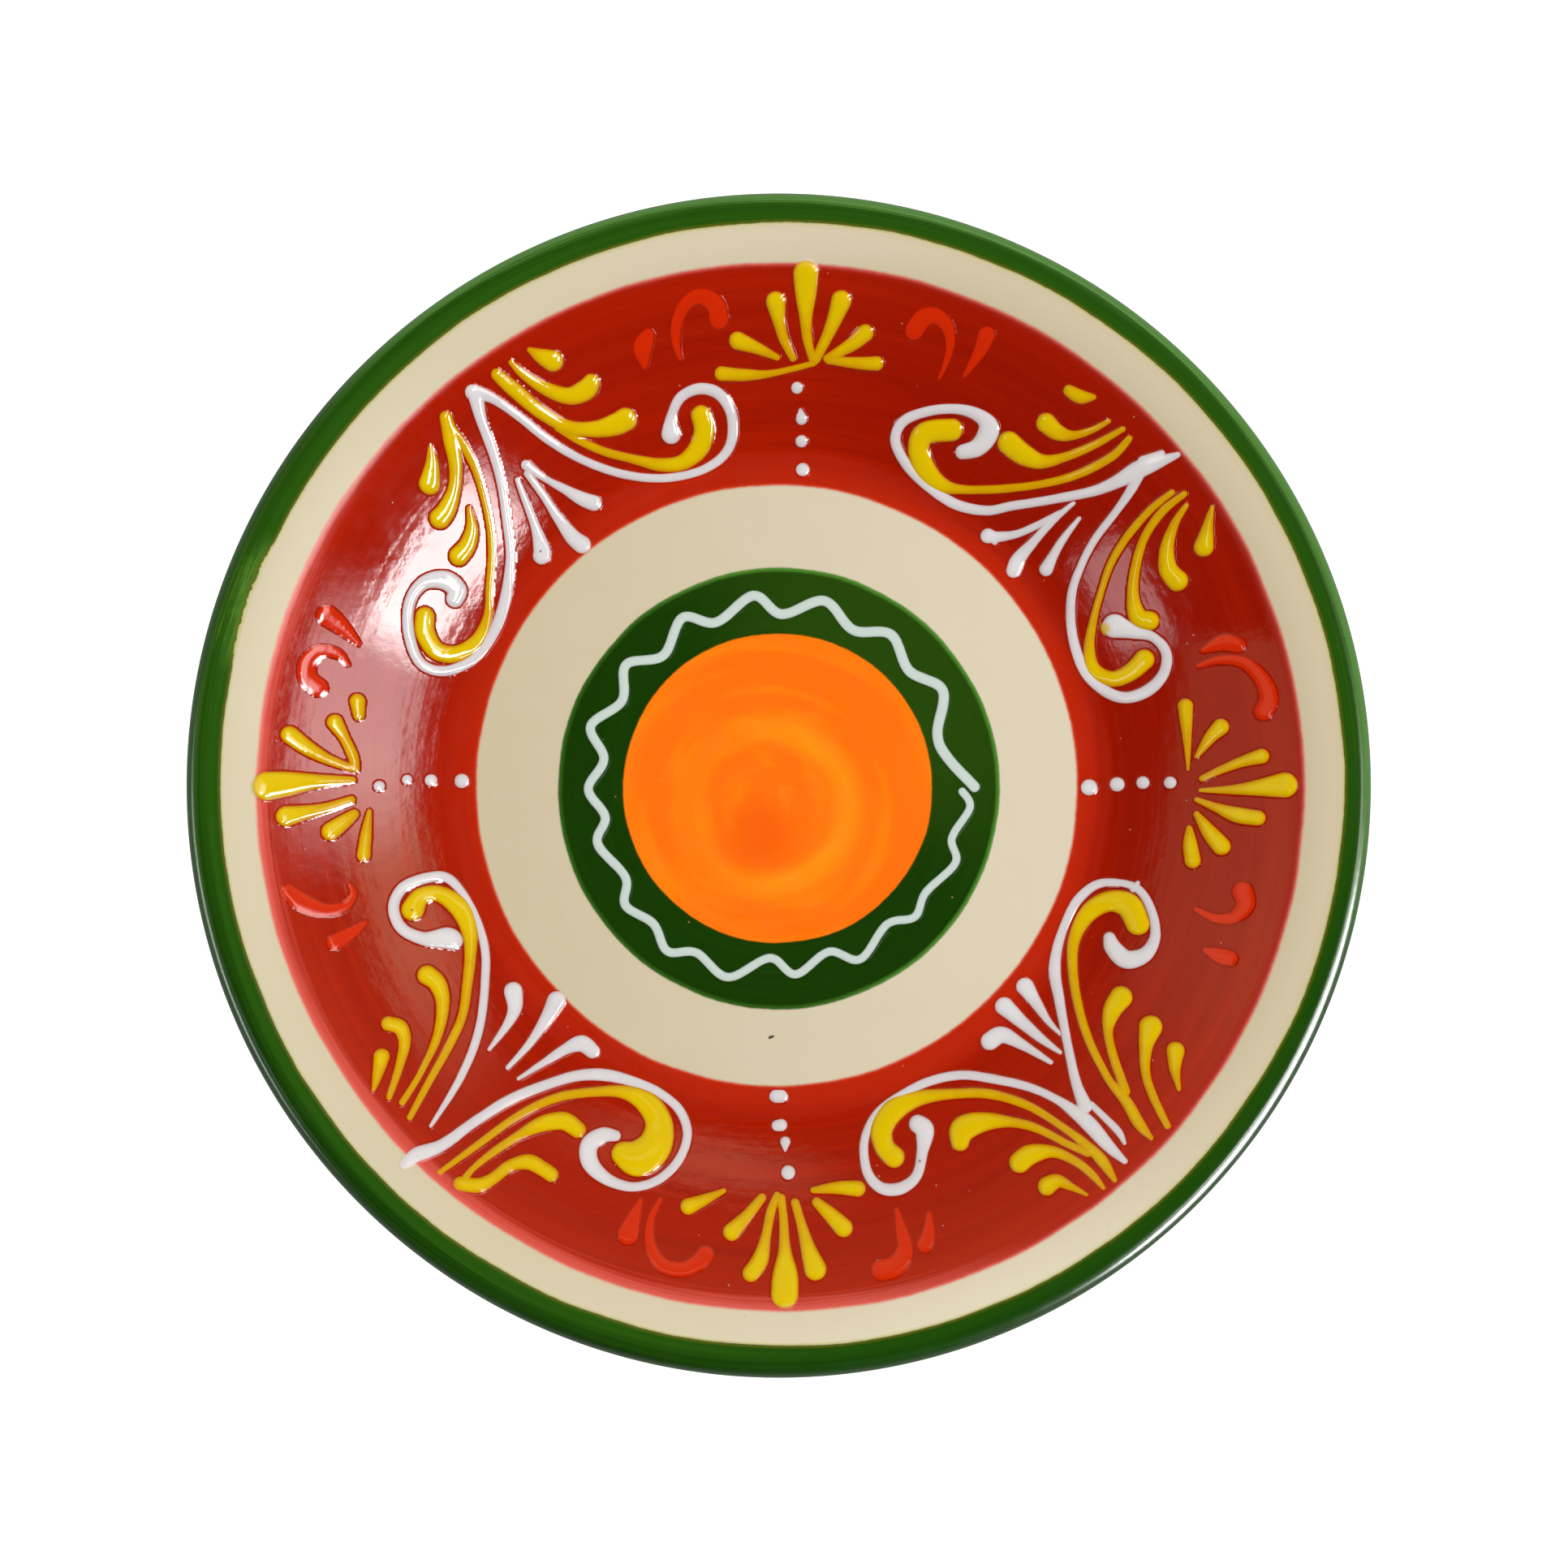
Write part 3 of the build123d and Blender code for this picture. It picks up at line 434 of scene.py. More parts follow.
def layOutPlan(tree, position):
    # what painting the bands needs, in millimetres seen from above
    scaled = addNode(tree, "ShaderNodeVectorMath", {0: position, "Scale": 1 / mm}, operation="SCALE")
    axes = splitAxes(tree, scaled.outputs[0])
    flat = joinAxes(tree, axes["X"], axes["Y"])
    slow = calc(tree, "SUBTRACT", noise(tree, flat, 0.07, 1.0), 0.5)
    fine = calc(tree, "SUBTRACT", noise(tree, flat, 0.7, 3.0), 0.5)
    return {
        "x": axes["X"],
        "y": axes["Y"],
        "flat": flat,
        "angle": calc(tree, "ARCTAN2", axes["Y"], axes["X"]),
        "radius": vectorCalc(tree, "LENGTH", flat),
        "fine": fine,
        "wobble": calc(tree, "ADD", calc(tree, "MULTIPLY", slow, 0.6), calc(tree, "MULTIPLY", fine, 0.2)),
    }


def radiusFrom(tree, plan, centre):
    return vectorCalc(tree, "DISTANCE", plan["flat"], (*centre, 0.0))


def roundPlate(tree, plan, scale, along):
    # a place in noise that changes along its third axis and closes on itself round the plate
    return joinAxes(tree, calc(tree, "MULTIPLY", calc(tree, "COSINE", plan["angle"]), scale),
                    calc(tree, "MULTIPLY", calc(tree, "SINE", plan["angle"]), scale), along)


def brushed(tree, plan, name):
    radialScale, angularScale, seed = brushLines[name]
    along = calc(tree, "MULTIPLY_ADD", plan["radius"], radialScale, seed)
    lines = noise(tree, roundPlate(tree, plan, angularScale, along), 1.0, 3.0, 0.6)
    return calc(tree, "SUBTRACT", lines, 0.5)


def edge(tree, plan, name, extra=0.0):
    # distance outside a painted edge, and a mask that is 1 outside it
    centre, radius, softness = bandEdges[name]
    where = addUp(tree, [radiusFrom(tree, plan, centre), plan["wobble"], extra])
    away = calc(tree, "SUBTRACT", where, radius)
    return away, ramp(tree, away, -softness, softness)


def lineAt(tree, away, middle, width):
    # a soft line, 1 at its middle
    offset = calc(tree, "ABSOLUTE", calc(tree, "SUBTRACT", away, middle))
    return ramp(tree, offset, 0.0, width, 1.0, 0.0)


def sector(tree, plan, name):
    azimuth, halfSpan, soft = sectors[name]
    turned = calc(tree, "COSINE", calc(tree, "SUBTRACT", plan["angle"], math.radians(azimuth)))
    outer = math.cos(math.radians(min(halfSpan + soft, 180)))
    return ramp(tree, turned, outer, math.cos(math.radians(halfSpan)))


def paintCream(tree, plan):
    # cream with iron specks; painted shade darkens it towards the left, and the outer ring on its right-hand
    # side
    # painted shade: the cream darker towards the left
    across = calc(tree, "MULTIPLY_ADD", noise(tree, plan["flat"], 0.12), 22.0, plan["x"])
    cream = mix(tree, ramp(tree, across, -48.0, 66.0), colours["creamShadedLeft"], colours["cream"])
    speck, pick = specks(tree, plan["flat"], 0.36, 0, 5.0, 0.075, 0.4)
    tone = calc(tree, "MULTIPLY_ADD", pick.outputs[1], 0.55, 0.1)
    cream = mix(tree, calc(tree, "MULTIPLY", speck, tone), cream, colours["speck"])
    # painted shade: the outer cream ring darker on its right-hand side, where it faces away from the light
    shadedRight = calc(tree, "MULTIPLY", sector(tree, plan, "creamShadedRight"), ramp(tree, plan["radius"], 80.0, 86.0))
    cream = tint(tree, shadedRight, 0.9, cream, colours["creamShadedRight"])
    beside = vectorCalc(tree, "SUBTRACT", plan["flat"], (*spot["centre"], 0.0))
    tilted = addNode(tree, "ShaderNodeVectorRotate", {"Vector": beside, "Angle": spot["turn"]},
                     rotation_type="Z_AXIS").outputs[0]
    away = vectorCalc(tree, "LENGTH", vectorCalc(tree, "MULTIPLY", tilted, spot["stretch"]))
    ragged = calc(tree, "MULTIPLY_ADD", plan["fine"], 0.8, away)
    return mix(tree, ramp(tree, ragged, 0.45, 0.75, 0.9, 0.0), cream, colours["spot"])


def paintRim(tree, plan, ground):
    # green: the top of the lip paler, partly thin glaze and partly painted highlight; painted shade darkens it
    # over the lip, most on the near side, and in a shaded sector; a thin olive start and a straw line before it
    overlap = calc(tree, "MULTIPLY", sector(tree, plan, "rimOverlap"),
                   calc(tree, "MULTIPLY_ADD", plan["fine"], 1.1, -0.6))
    away, mask = edge(tree, plan, "rim", overlap)
    # painted shade: the green darkens over the lip, where it turns away from the light, and more towards the
    # near side
    outward = calc(tree, "MULTIPLY_ADD", brushed(tree, plan, "rimShadeEdge"), 3.0, plan["radius"])
    lipShade = calc(tree, "MULTIPLY", ramp(tree, outward, 95.6, 98.0),
                ramp(tree, plan["y"], 20.0, -50.0, 0.35, 1.0))
    rim = mix(tree, lipShade, colours["rimGreen"], colours["rimGreenLipShade"])
    streaks = calc(tree, "ADD", brushed(tree, plan, "rimStreaks"), 0.08)
    streaks = calc(tree, "MULTIPLY", streaks, 0.9, clamp=True)
    rim = mix(tree, streaks, rim, colours["rimStreak"])
    patchy = ramp(tree, calc(tree, "MULTIPLY_ADD", brushed(tree, plan, "rimPatch"), 6.0, away), 3.2, 0.4)
    patch = calc(tree, "MULTIPLY", sector(tree, plan, "rimPatch"), patchy)
    rim = tint(tree, patch, 0.65, rim, colours["rimPatch"])
    rim = tint(tree, sector(tree, plan, "rimShaded"), 0.6, rim, colours["rimGreenShaded"])
    # the top of the lip paler on the far side: partly thin glaze breaking over the edge, partly a painted
    # highlight
    worn = calc(tree, "MULTIPLY_ADD", brushed(tree, plan, "rimThinLit"), 2.2, plan["radius"])
    thin = calc(tree, "MULTIPLY", sector(tree, plan, "rimThinLit"), ramp(tree, worn, 98.0, 98.9))
    rim = tint(tree, thin, 0.65, rim, colours["rimGreenThinLit"])
    rim = tint(tree, lineAt(tree, away, 0.25, 0.45), 0.8, rim, colours["olive"])
    colour = mix(tree, mask, ground, rim)
    return tint(tree, lineAt(tree, away, -0.15, 0.3), 0.6, colour, colours["straw"])


def paintRed(tree, plan, ground):
    # deep on the wall, brighter near both borders, brushed, with coral edges; painted light brightens the left
    # side of the wall, and the wide coral side is partly painted reflection
    outerAway, outerMask = edge(tree, plan, "redOuter")
    innerAway, innerMask = edge(tree, plan, "redInner")
    fineStreaks = brushed(tree, plan, "redFine")
    brightness = addUp(tree, [
        ramp(tree, plan["radius"], 78.0, 90.0, 0.0, 0.3),
        ramp(tree, plan["radius"], 51.0, 61.0, 0.7, 0.0),
        # painted light: the wall painted brighter on its left side, which faces the light
        calc(tree, "MULTIPLY", sector(tree, plan, "redBright"), 0.32),
        calc(tree, "MULTIPLY", sector(tree, plan, "redInnerBright"),
             ramp(tree, plan["radius"], 56.0, 52.0, 0.0, 0.45)),
        calc(tree, "MULTIPLY", brushed(tree, plan, "redBroad"), 0.9),
        calc(tree, "MULTIPLY", fineStreaks, 0.5),
    ], clamp=True)
    red = mix(tree, brightness, colours["redDeep"], colours["redBright"])
    # the wide coral side: thin glaze where the brush ends, together with a painted reflection
    brushEndAndReflection = ramp(tree, calc(tree, "MULTIPLY_ADD", fineStreaks, 3.2, outerAway), -3.0, -0.5)
    coralSide = calc(tree, "MULTIPLY", sector(tree, plan, "coralSide"), brushEndAndReflection)
    red = tint(tree, coralSide, 0.75, red, colours["coral"])
    red = tint(tree, lineAt(tree, outerAway, 0.0, 0.8), 0.8, red, colours["coral"])
    red = tint(tree, lineAt(tree, innerAway, 0.0, 0.7), 0.75, red, colours["coralInner"])
    inRed = calc(tree, "MULTIPLY", innerMask, calc(tree, "SUBTRACT", 1.0, outerMask))
    return mix(tree, inRed, ground, red), inRed


def paintGreenRing(tree, plan, ground):
    # dark green with a paler outer edge
    away, mask = edge(tree, plan, "greenRing")
    ring = mix(tree, ramp(tree, brushed(tree, plan, "darkGreen"), -0.15, 0.2, 0.0, 0.35),
               colours["darkGreen"], colours["darkGreenStreak"])
    ring = tint(tree, sector(tree, plan, "moss"), 0.5, ring, colours["darkGreenMoss"])
    paleSide = ramp(tree, sector(tree, plan, "paleRingEdge"), 0.0, 1.0, 0.35, 0.95)
    ring = tint(tree, lineAt(tree, away, -0.2, 0.8), paleSide, ring, colours["darkGreenEdge"])
    inside = calc(tree, "SUBTRACT", 1.0, mask)
    return mix(tree, inside, ground, ring), inside


def paintOrange(tree, plan, ground):
    # the swirl that a loaded brush leaves on a turning wheel
    away, mask = edge(tree, plan, "orange")
    drift = calc(tree, "MULTIPLY", calc(tree, "SINE", calc(tree, "ADD", plan["angle"], 0.6)), 1.6)
    swirlRadius = calc(tree, "ADD", radiusFrom(tree, plan, (-1.0, -2.5)), drift)
    along = calc(tree, "MULTIPLY", swirlRadius, 0.28)
    swirl = noise(tree, roundPlate(tree, plan, 0.9, along), 1.0, 2.0, 0.45)
    arc = calc(tree, "MULTIPLY", lineAt(tree, swirlRadius, 13.5, 4.5),
               ramp(tree, sector(tree, plan, "orangeArc"), 0.0, 1.0, 0.3, 0.8))
    hem = calc(tree, "MULTIPLY", ramp(tree, away, -3.5, -0.4, 0.0, 0.25), sector(tree, plan, "orangeHem"))
    pale = addUp(tree, [ramp(tree, swirl, 0.45, 0.75, 0.0, 0.4), arc, hem], clamp=True)
    orange = mix(tree, pale, colours["orange"], colours["orangePale"])
    thick = ramp(tree, radiusFrom(tree, plan, (-3.5, -8.5)), 2.0, 9.0, 0.9, 0.0)
    orange = mix(tree, thick, orange, colours["orangeDeep"])
    return mix(tree, calc(tree, "SUBTRACT", 1.0, mask), ground, orange)


def buildBandGroup():
    # the banded glazes of the upper side, by distance from the axis; position is in metres
    tree, start, end = newTree("bandedGlaze", "ShaderNodeTree", [
        ("INPUT", "Position", "NodeSocketVector", None),
        ("OUTPUT", "Color", "NodeSocketColor", None),
        ("OUTPUT", "Height", "NodeSocketFloat", None),
        ("OUTPUT", "Roughness", "NodeSocketFloat", None),
        ("OUTPUT", "Coat", "NodeSocketFloat", None),
    ])
    plan = layOutPlan(tree, start["Position"])
    colour = paintRim(tree, plan, paintCream(tree, plan))
    colour, inRed = paintRed(tree, plan, colour)
    colour, inRing = paintGreenRing(tree, plan, colour)
    colour = paintOrange(tree, plan, colour)
    hole, _ = specks(tree, plan["flat"], 0.3, 2, 7.0, 0.065, 0.5)
    painted = calc(tree, "MULTIPLY", hole, calc(tree, "MAXIMUM", inRed, inRing))
    tree.links.new(tint(tree, painted, 0.5, colour, colours["pinhole"]), end["Color"])

    # shallow throwing rings, orange peel and pinholes, in metres
    peel = calc(tree, "SUBTRACT", noise(tree, plan["flat"], 0.4, 3.0), 0.5)
    tree.links.new(addUp(tree, [
        calc(tree, "MULTIPLY", brushed(tree, plan, "throwing"), 0.00004),
        calc(tree, "MULTIPLY", peel, 0.00003),
        calc(tree, "MULTIPLY", hole, -0.00001),
    ]), end["Height"])

    # satin on the shoulder and the lip, where the glaze ran thin; the clear coat is only where there is none
    satin = addUp(tree, [ramp(tree, plan["radius"], low, high, 0.0, rise) for low, high, rise in satinSteps])
    gloss = ramp(tree, noise(tree, plan["flat"], 0.25), 0.3, 0.7, 0.05, 0.085)
    tree.links.new(calc(tree, "ADD", gloss, satin), end["Roughness"])
    tree.links.new(ramp(tree, satin, 0.0, 0.1, 1.0, 0.0), end["Coat"])
    return tree


def planDistance(tree, place, x, y):
    # distance from a point, seen from above
    gap = vectorCalc(tree, "SUBTRACT", place, (x * mm, y * mm, 0.0))
    return vectorCalc(tree, "LENGTH", vectorCalc(tree, "MULTIPLY", gap, (1.0, 1.0, 0.0)))


def buildSlipGroup():
    # colour of the raised slip over its ground: thin slip lets the ground through at its edges
    tree, start, end = newTree("slipOverGlaze", "ShaderNodeTree", [
        ("INPUT", "Ground", "NodeSocketColor", None),
        ("INPUT", "Position", "NodeSocketVector", None),
        ("INPUT", "Edge", "NodeSocketFloat", 0.0),
        ("INPUT", "Thickness", "NodeSocketFloat", 0.5),
        ("INPUT", "Thin Color", "NodeSocketColor", None),
        ("INPUT", "Thick Color", "NodeSocketColor", None),
        ("OUTPUT", "Color", "NodeSocketColor", None),
    ])
    loose = calc(tree, "SUBTRACT", noise(tree, start["Position"], 420.0), 0.5)
    depth = calc(tree, "MULTIPLY_ADD", loose, 0.25, start["Thickness"])
    body = mix(tree, ramp(tree, depth, 0.2, 0.62), start["Thin Color"], start["Thick Color"])
    away = calc(tree, "MULTIPLY_ADD", loose, 0.12, start["Edge"])
    seeThrough = mix(tree, 0.3, start["Thin Color"], start["Ground"])
    edged = mix(tree, ramp(tree, away, 0.0, 0.26), seeThrough, body)
    over = mix(tree, ramp(tree, away, -0.09, 0.05), start["Ground"], edged)
    for x, y in slipPinholes:
        hole = ramp(tree, planDistance(tree, start["Position"], x, y), 0.12 * mm, 0.3 * mm, 0.75, 0.0)
        over = mix(tree, hole, over, colours["speck"])
    tree.links.new(over, end["Color"])
    return tree


def startMaterial(name):
    material = bpy.data.materials.new(name)
    material.use_nodes = True
    tree = material.node_tree
    shader = tree.nodes["Principled BSDF"]
    shader.inputs["IOR"].default_value = 1.5
    return material, tree, shader


def objectPlace(tree):
    return addNode(tree, "ShaderNodeTexCoord").outputs["Object"]


def linkFinish(tree, shader, colour, roughness, bump):
    tree.links.new(colour, shader.inputs["Base Color"])
    tree.links.new(roughness, shader.inputs["Roughness"])
    tree.links.new(bump, shader.inputs["Normal"])


def placeBands(tree, place):
    return addNode(tree, "ShaderNodeGroup", {"Position": place}, node_tree=bandGroup).outputs


# weight and roughness of the clear coats
clearCoat = {"glaze": (0.25, 0.065), "slip": (0.25, 0.03), "back": (0.2, 0.04)}


def makeGlaze(name):
    # a coat of the upper side: the painted bands under clear, glossy glaze
    material, tree, shader = startMaterial(name)
    place = objectPlace(tree)
    bands = placeBands(tree, place)
    linkFinish(tree, shader, bands["Color"], bands["Roughness"], bumpFrom(tree, bands["Height"]))
    weight, shader.inputs["Coat Roughness"].default_value = clearCoat["glaze"]
    tree.links.new(calc(tree, "MULTIPLY", bands["Coat"], weight), shader.inputs["Coat Weight"])
    return material


def makeSlip(name, thin, thick, stain=None):
    # raised slip; its feathered skirt takes the colour of the band that it lies on
    material, tree, shader = startMaterial(name)
    place = objectPlace(tree)
    bands = placeBands(tree, place)
    shape = {}
    for key in ("edgeDistance", "slipHeight"):
        stored = addNode(tree, "ShaderNodeAttribute", attribute_name=key, attribute_type="GEOMETRY")
        shape[key] = stored.outputs["Fac"]
    colour = addNode(tree, "ShaderNodeGroup", node_tree=slipGroup)
    for key, value in (("Ground", bands["Color"]), ("Position", place), ("Edge", shape["edgeDistance"]),
                       ("Thickness", shape["slipHeight"]), ("Thin Color", thin), ("Thick Color", thick)):
        setInput(tree, colour.inputs[key], value)
    body = colour.outputs["Color"]
    if stain is not None:
        # a touch of the neighbouring colour
        middle, reach, touch = stain
        near = ramp(tree, planDistance(tree, place, *middle), reach * mm, reach * mm * 0.4, 0.0, 0.8)
        body = mix(tree, near, body, touch)
    uneven = calc(tree, "MULTIPLY_ADD", noise(tree, place, 900.0), 0.00002, bands["Height"])
    linkFinish(tree, shader, body, bands["Roughness"], bumpFrom(tree, uneven))
    weight, shader.inputs["Coat Roughness"].default_value = clearCoat["slip"]
    shader.inputs["Coat Weight"].default_value = weight
    return material


def makeBackGlaze(name):
    # plain cream glaze of the underside, thinner over the throwing lines, with specks
    material, tree, shader = startMaterial(name)
    place = objectPlace(tree)
    radius = vectorCalc(tree, "LENGTH", vectorCalc(tree, "MULTIPLY", place, (1.0, 1.0, 0.0)))
    lines = noise(tree, joinAxes(tree, z=radius), 520.0, 3.0)
    cloud = noise(tree, place, 60.0, 4.0)
    speck, _ = specks(tree, place, 330.0, 0, 5.0, 0.1, 0.4)
    base = mix(tree, cloud, paint(231, 219, 190), paint(219, 203, 166))
    base = mix(tree, ramp(tree, lines, 0.5, 0.75, 0.0, 0.35), base, paint(206, 182, 138))
    base = tint(tree, speck, 0.6, base, colours["speck"])
    linkFinish(tree, shader, base, ramp(tree, cloud, 0.3, 0.7, 0.07, 0.13),
               bumpFrom(tree, calc(tree, "MULTIPLY", lines, 0.00009)))
    weight, shader.inputs["Coat Roughness"].default_value = clearCoat["back"]
    shader.inputs["Coat Weight"].default_value = weight
    return material


def makeClay(name):
    # bare biscuit of the foot ring: matt, sandy, a little stained where it stands
    material, tree, shader = startMaterial(name)
    place = objectPlace(tree)
    cloud = noise(tree, place, 90.0, 5.0)
    grain = noise(tree, place, 2600.0, 3.0)
    base = mix(tree, cloud, paint(222, 196, 160), paint(200, 168, 128))
    base = mix(tree, ramp(tree, grain, 0.5, 0.8, 0.0, 0.4), base, paint(164, 128, 92))
    worn = ramp(tree, splitAxes(tree, place)["Z"], 0.0, 0.8 * mm, 0.35, 0.0)
    base = mix(tree, worn, base, paint(150, 124, 100))
    linkFinish(tree, shader, base, ramp(tree, cloud, 0.3, 0.7, 0.75, 0.9),
               bumpFrom(tree, calc(tree, "MULTIPLY", grain, 0.00006), 0.6))
    return material


# how trailed slip stands on the glaze, in millimetres
slipShape = {
    "cell": 0.2,
    "skirt": 0.55,
    "heightGain": 0.46,
    "heightPower": 0.42,
    "lift": 0.012,
    "sink": 0.04,
    "softening": 4,
}
probeRadius = 3.4 * mm


# beads of slip along the strokes: the input mesh's edges are the centre lines
def buildSlipTree():
    tree, start, end = newTree("trailedSlip", "GeometryNodeTree", [
        ("INPUT", "Strokes", "NodeSocketGeometry", None),
        ("INPUT", "Glazed Surface", "NodeSocketObject", None),
        ("INPUT", "Cell", "NodeSocketFloat", slipShape["cell"] * mm),
        ("INPUT", "Skirt", "NodeSocketFloat", slipShape["skirt"] * mm),
        ("INPUT", "Height Gain", "NodeSocketFloat", slipShape["heightGain"]),
        ("INPUT", "Height Power", "NodeSocketFloat", slipShape["heightPower"]),
        ("INPUT", "Lift", "NodeSocketFloat", slipShape["lift"] * mm),
        ("INPUT", "Sink", "NodeSocketFloat", slipShape["sink"] * mm),
        ("INPUT", "Softening", "NodeSocketInt", slipShape["softening"]),
        ("INPUT", "Finish", "NodeSocketMaterial", None),
        ("OUTPUT", "Geometry", "NodeSocketGeometry", None),
    ])
    halfWidth = addNode(tree, "GeometryNodeInputNamedAttribute", {"Name": "halfWidth"},
                        data_type="FLOAT").outputs["Attribute"]
    here = addNode(tree, "GeometryNodeInputPosition").outputs[0]
    curves = addNode(tree, "GeometryNodeMeshToCurve", {"Mesh": start["Strokes"]})
    flowing = addNode(tree, "GeometryNodeCurveSplineType", {"Curve": curves.outputs[0]},
                      spline_type="CATMULL_ROM")
    stepped = addNode(tree, "GeometryNodeResampleCurve", {"Curve": flowing.outputs[0], "Length": 0.12 * mm},
                      mode="LENGTH")
    trail = addNode(tree, "GeometryNodeCurveToPoints", {"Curve": stepped.outputs[0]}, mode="EVALUATED")
    # each point is raised so that the nearest one in space is the one whose drop reaches furthest
    rise = calc(tree, "SQRT", calc(tree, "SUBTRACT", probeRadius ** 2,
                                   calc(tree, "MULTIPLY", halfWidth, halfWidth)))
    up = addNode(tree, "ShaderNodeCombineXYZ", {"Z": rise}).outputs[0]
    raised = addNode(tree, "GeometryNodeSetPosition", {"Geometry": trail.outputs["Points"], "Offset": up})
    points = raised.outputs[0]

    # a fine grid over the strokes
    box = addNode(tree, "GeometryNodeBoundBox", {"Geometry": points})
    span = addNode(tree, "ShaderNodeVectorMath", {0: box.outputs["Max"], 1: box.outputs["Min"]},
                   operation="SUBTRACT")
    margin = addNode(tree, "ShaderNodeVectorMath", {0: span.outputs[0], 1: (0.008, 0.008, 0.0)},
                     operation="ADD")
    spanSplit = addNode(tree, "ShaderNodeSeparateXYZ", {"Vector": margin.outputs[0]})
    across = calc(tree, "CEIL", calc(tree, "DIVIDE", spanSplit.outputs["X"], start["Cell"]))
    along = calc(tree, "CEIL", calc(tree, "DIVIDE", spanSplit.outputs["Y"], start["Cell"]))
    grid = addNode(tree, "GeometryNodeMeshGrid", {
        "Size X": calc(tree, "MULTIPLY", across, start["Cell"]),
        "Size Y": calc(tree, "MULTIPLY", along, start["Cell"]),
        "Vertices X": calc(tree, "ADD", across, 1), "Vertices Y": calc(tree, "ADD", along, 1)})
    middle = addNode(tree, "ShaderNodeVectorMath", {0: box.outputs["Max"], 1: box.outputs["Min"]},
                     operation="ADD")
    middleFlat = addNode(tree, "ShaderNodeVectorMath", {0: middle.outputs[0], 1: (0.5, 0.5, 0.0)},
                         operation="MULTIPLY")
    placed = addNode(tree, "GeometryNodeSetPosition", {"Geometry": grid.outputs["Mesh"],
                                                       "Offset": middleFlat.outputs[0]})
    nearest = addNode(tree, "GeometryNodeSampleNearest", {"Geometry": points, "Sample Position": here},
                      domain="POINT").outputs[0]
    dropWidth = addNode(tree, "GeometryNodeSampleIndex", {"Geometry": points, "Value": halfWidth,
                                                          "Index": nearest},
                        data_type="FLOAT", domain="POINT").outputs[0]
    dropPlace = addNode(tree, "GeometryNodeSampleIndex", {"Geometry": points, "Value": here,
                                                          "Index": nearest},
                        data_type="FLOAT_VECTOR", domain="POINT").outputs[0]
    gap = addNode(tree, "ShaderNodeVectorMath", {0: here, 1: dropPlace}, operation="DISTANCE").outputs["Value"]
    power = calc(tree, "SUBTRACT", probeRadius ** 2, calc(tree, "MULTIPLY", gap, gap))
    planGap = calc(tree, "SQRT", calc(tree, "MAXIMUM", calc(tree, "SUBTRACT",
                   calc(tree, "MULTIPLY", dropWidth, dropWidth), power), 0.0))
    edge = calc(tree, "SUBTRACT", dropWidth, planGap)
    edgeStored = addNode(tree, "GeometryNodeStoreNamedAttribute",
                         {"Geometry": placed.outputs[0], "Name": "edgeMetres", "Value": edge},
                         data_type="FLOAT", domain="POINT")
    bulge = calc(tree, "MULTIPLY", calc(tree, "POWER", calc(tree, "MULTIPLY", calc(tree, "MAXIMUM", power, 0.0),
                 1000000.0), start["Height Power"]), start["Height Gain"])
    bulgeStored = addNode(tree, "GeometryNodeStoreNamedAttribute",
                          {"Geometry": edgeStored.outputs[0], "Name": "slipHeight", "Value": bulge},
                          data_type="FLOAT", domain="POINT")
    edgeHere = addNode(tree, "GeometryNodeInputNamedAttribute", {"Name": "edgeMetres"},
                       data_type="FLOAT").outputs["Attribute"]
    outside = addNode(tree, "FunctionNodeCompare", data_type="FLOAT", operation="LESS_THAN")
    setInput(tree, outside.inputs[0], edgeHere)
    setInput(tree, outside.inputs[1], calc(tree, "MULTIPLY", start["Skirt"], -1.0))
    trimmed = addNode(tree, "GeometryNodeDeleteGeometry",
                      {"Geometry": bulgeStored.outputs[0], "Selection": outside.outputs[0]}, domain="POINT")

    # surface tension rounds the foot of each bead and the joins between strokes
    heightHere = addNode(tree, "GeometryNodeInputNamedAttribute", {"Name": "slipHeight"},
                         data_type="FLOAT").outputs["Attribute"]
    softened = addNode(tree, "GeometryNodeBlurAttribute",
                       {"Value": heightHere, "Iterations": start["Softening"], "Weight": 1.0},
                       data_type="FLOAT").outputs[0]
    fluid = addNode(tree, "GeometryNodeStoreNamedAttribute",
                    {"Geometry": trimmed.outputs[0], "Name": "slipHeight", "Value": softened},
                    data_type="FLOAT", domain="POINT")
    edgeOut = addNode(tree, "GeometryNodeStoreNamedAttribute",
                      {"Geometry": fluid.outputs[0], "Name": "edgeDistance",
                       "Value": calc(tree, "MULTIPLY", edgeHere, 1000.0)},
                      data_type="FLOAT", domain="POINT")
    neighbours = addNode(tree, "GeometryNodeInputMeshEdgeNeighbors").outputs[0]
    lonely = addNode(tree, "FunctionNodeCompare", data_type="INT", operation="EQUAL")
    setInput(tree, lonely.inputs[2], neighbours)
    setInput(tree, lonely.inputs[3], 1)
    onBorder = addNode(tree, "GeometryNodeStoreNamedAttribute",
                       {"Geometry": edgeOut.outputs[0], "Name": "border", "Value": lonely.outputs[0]},
                       data_type="BOOLEAN", domain="POINT")

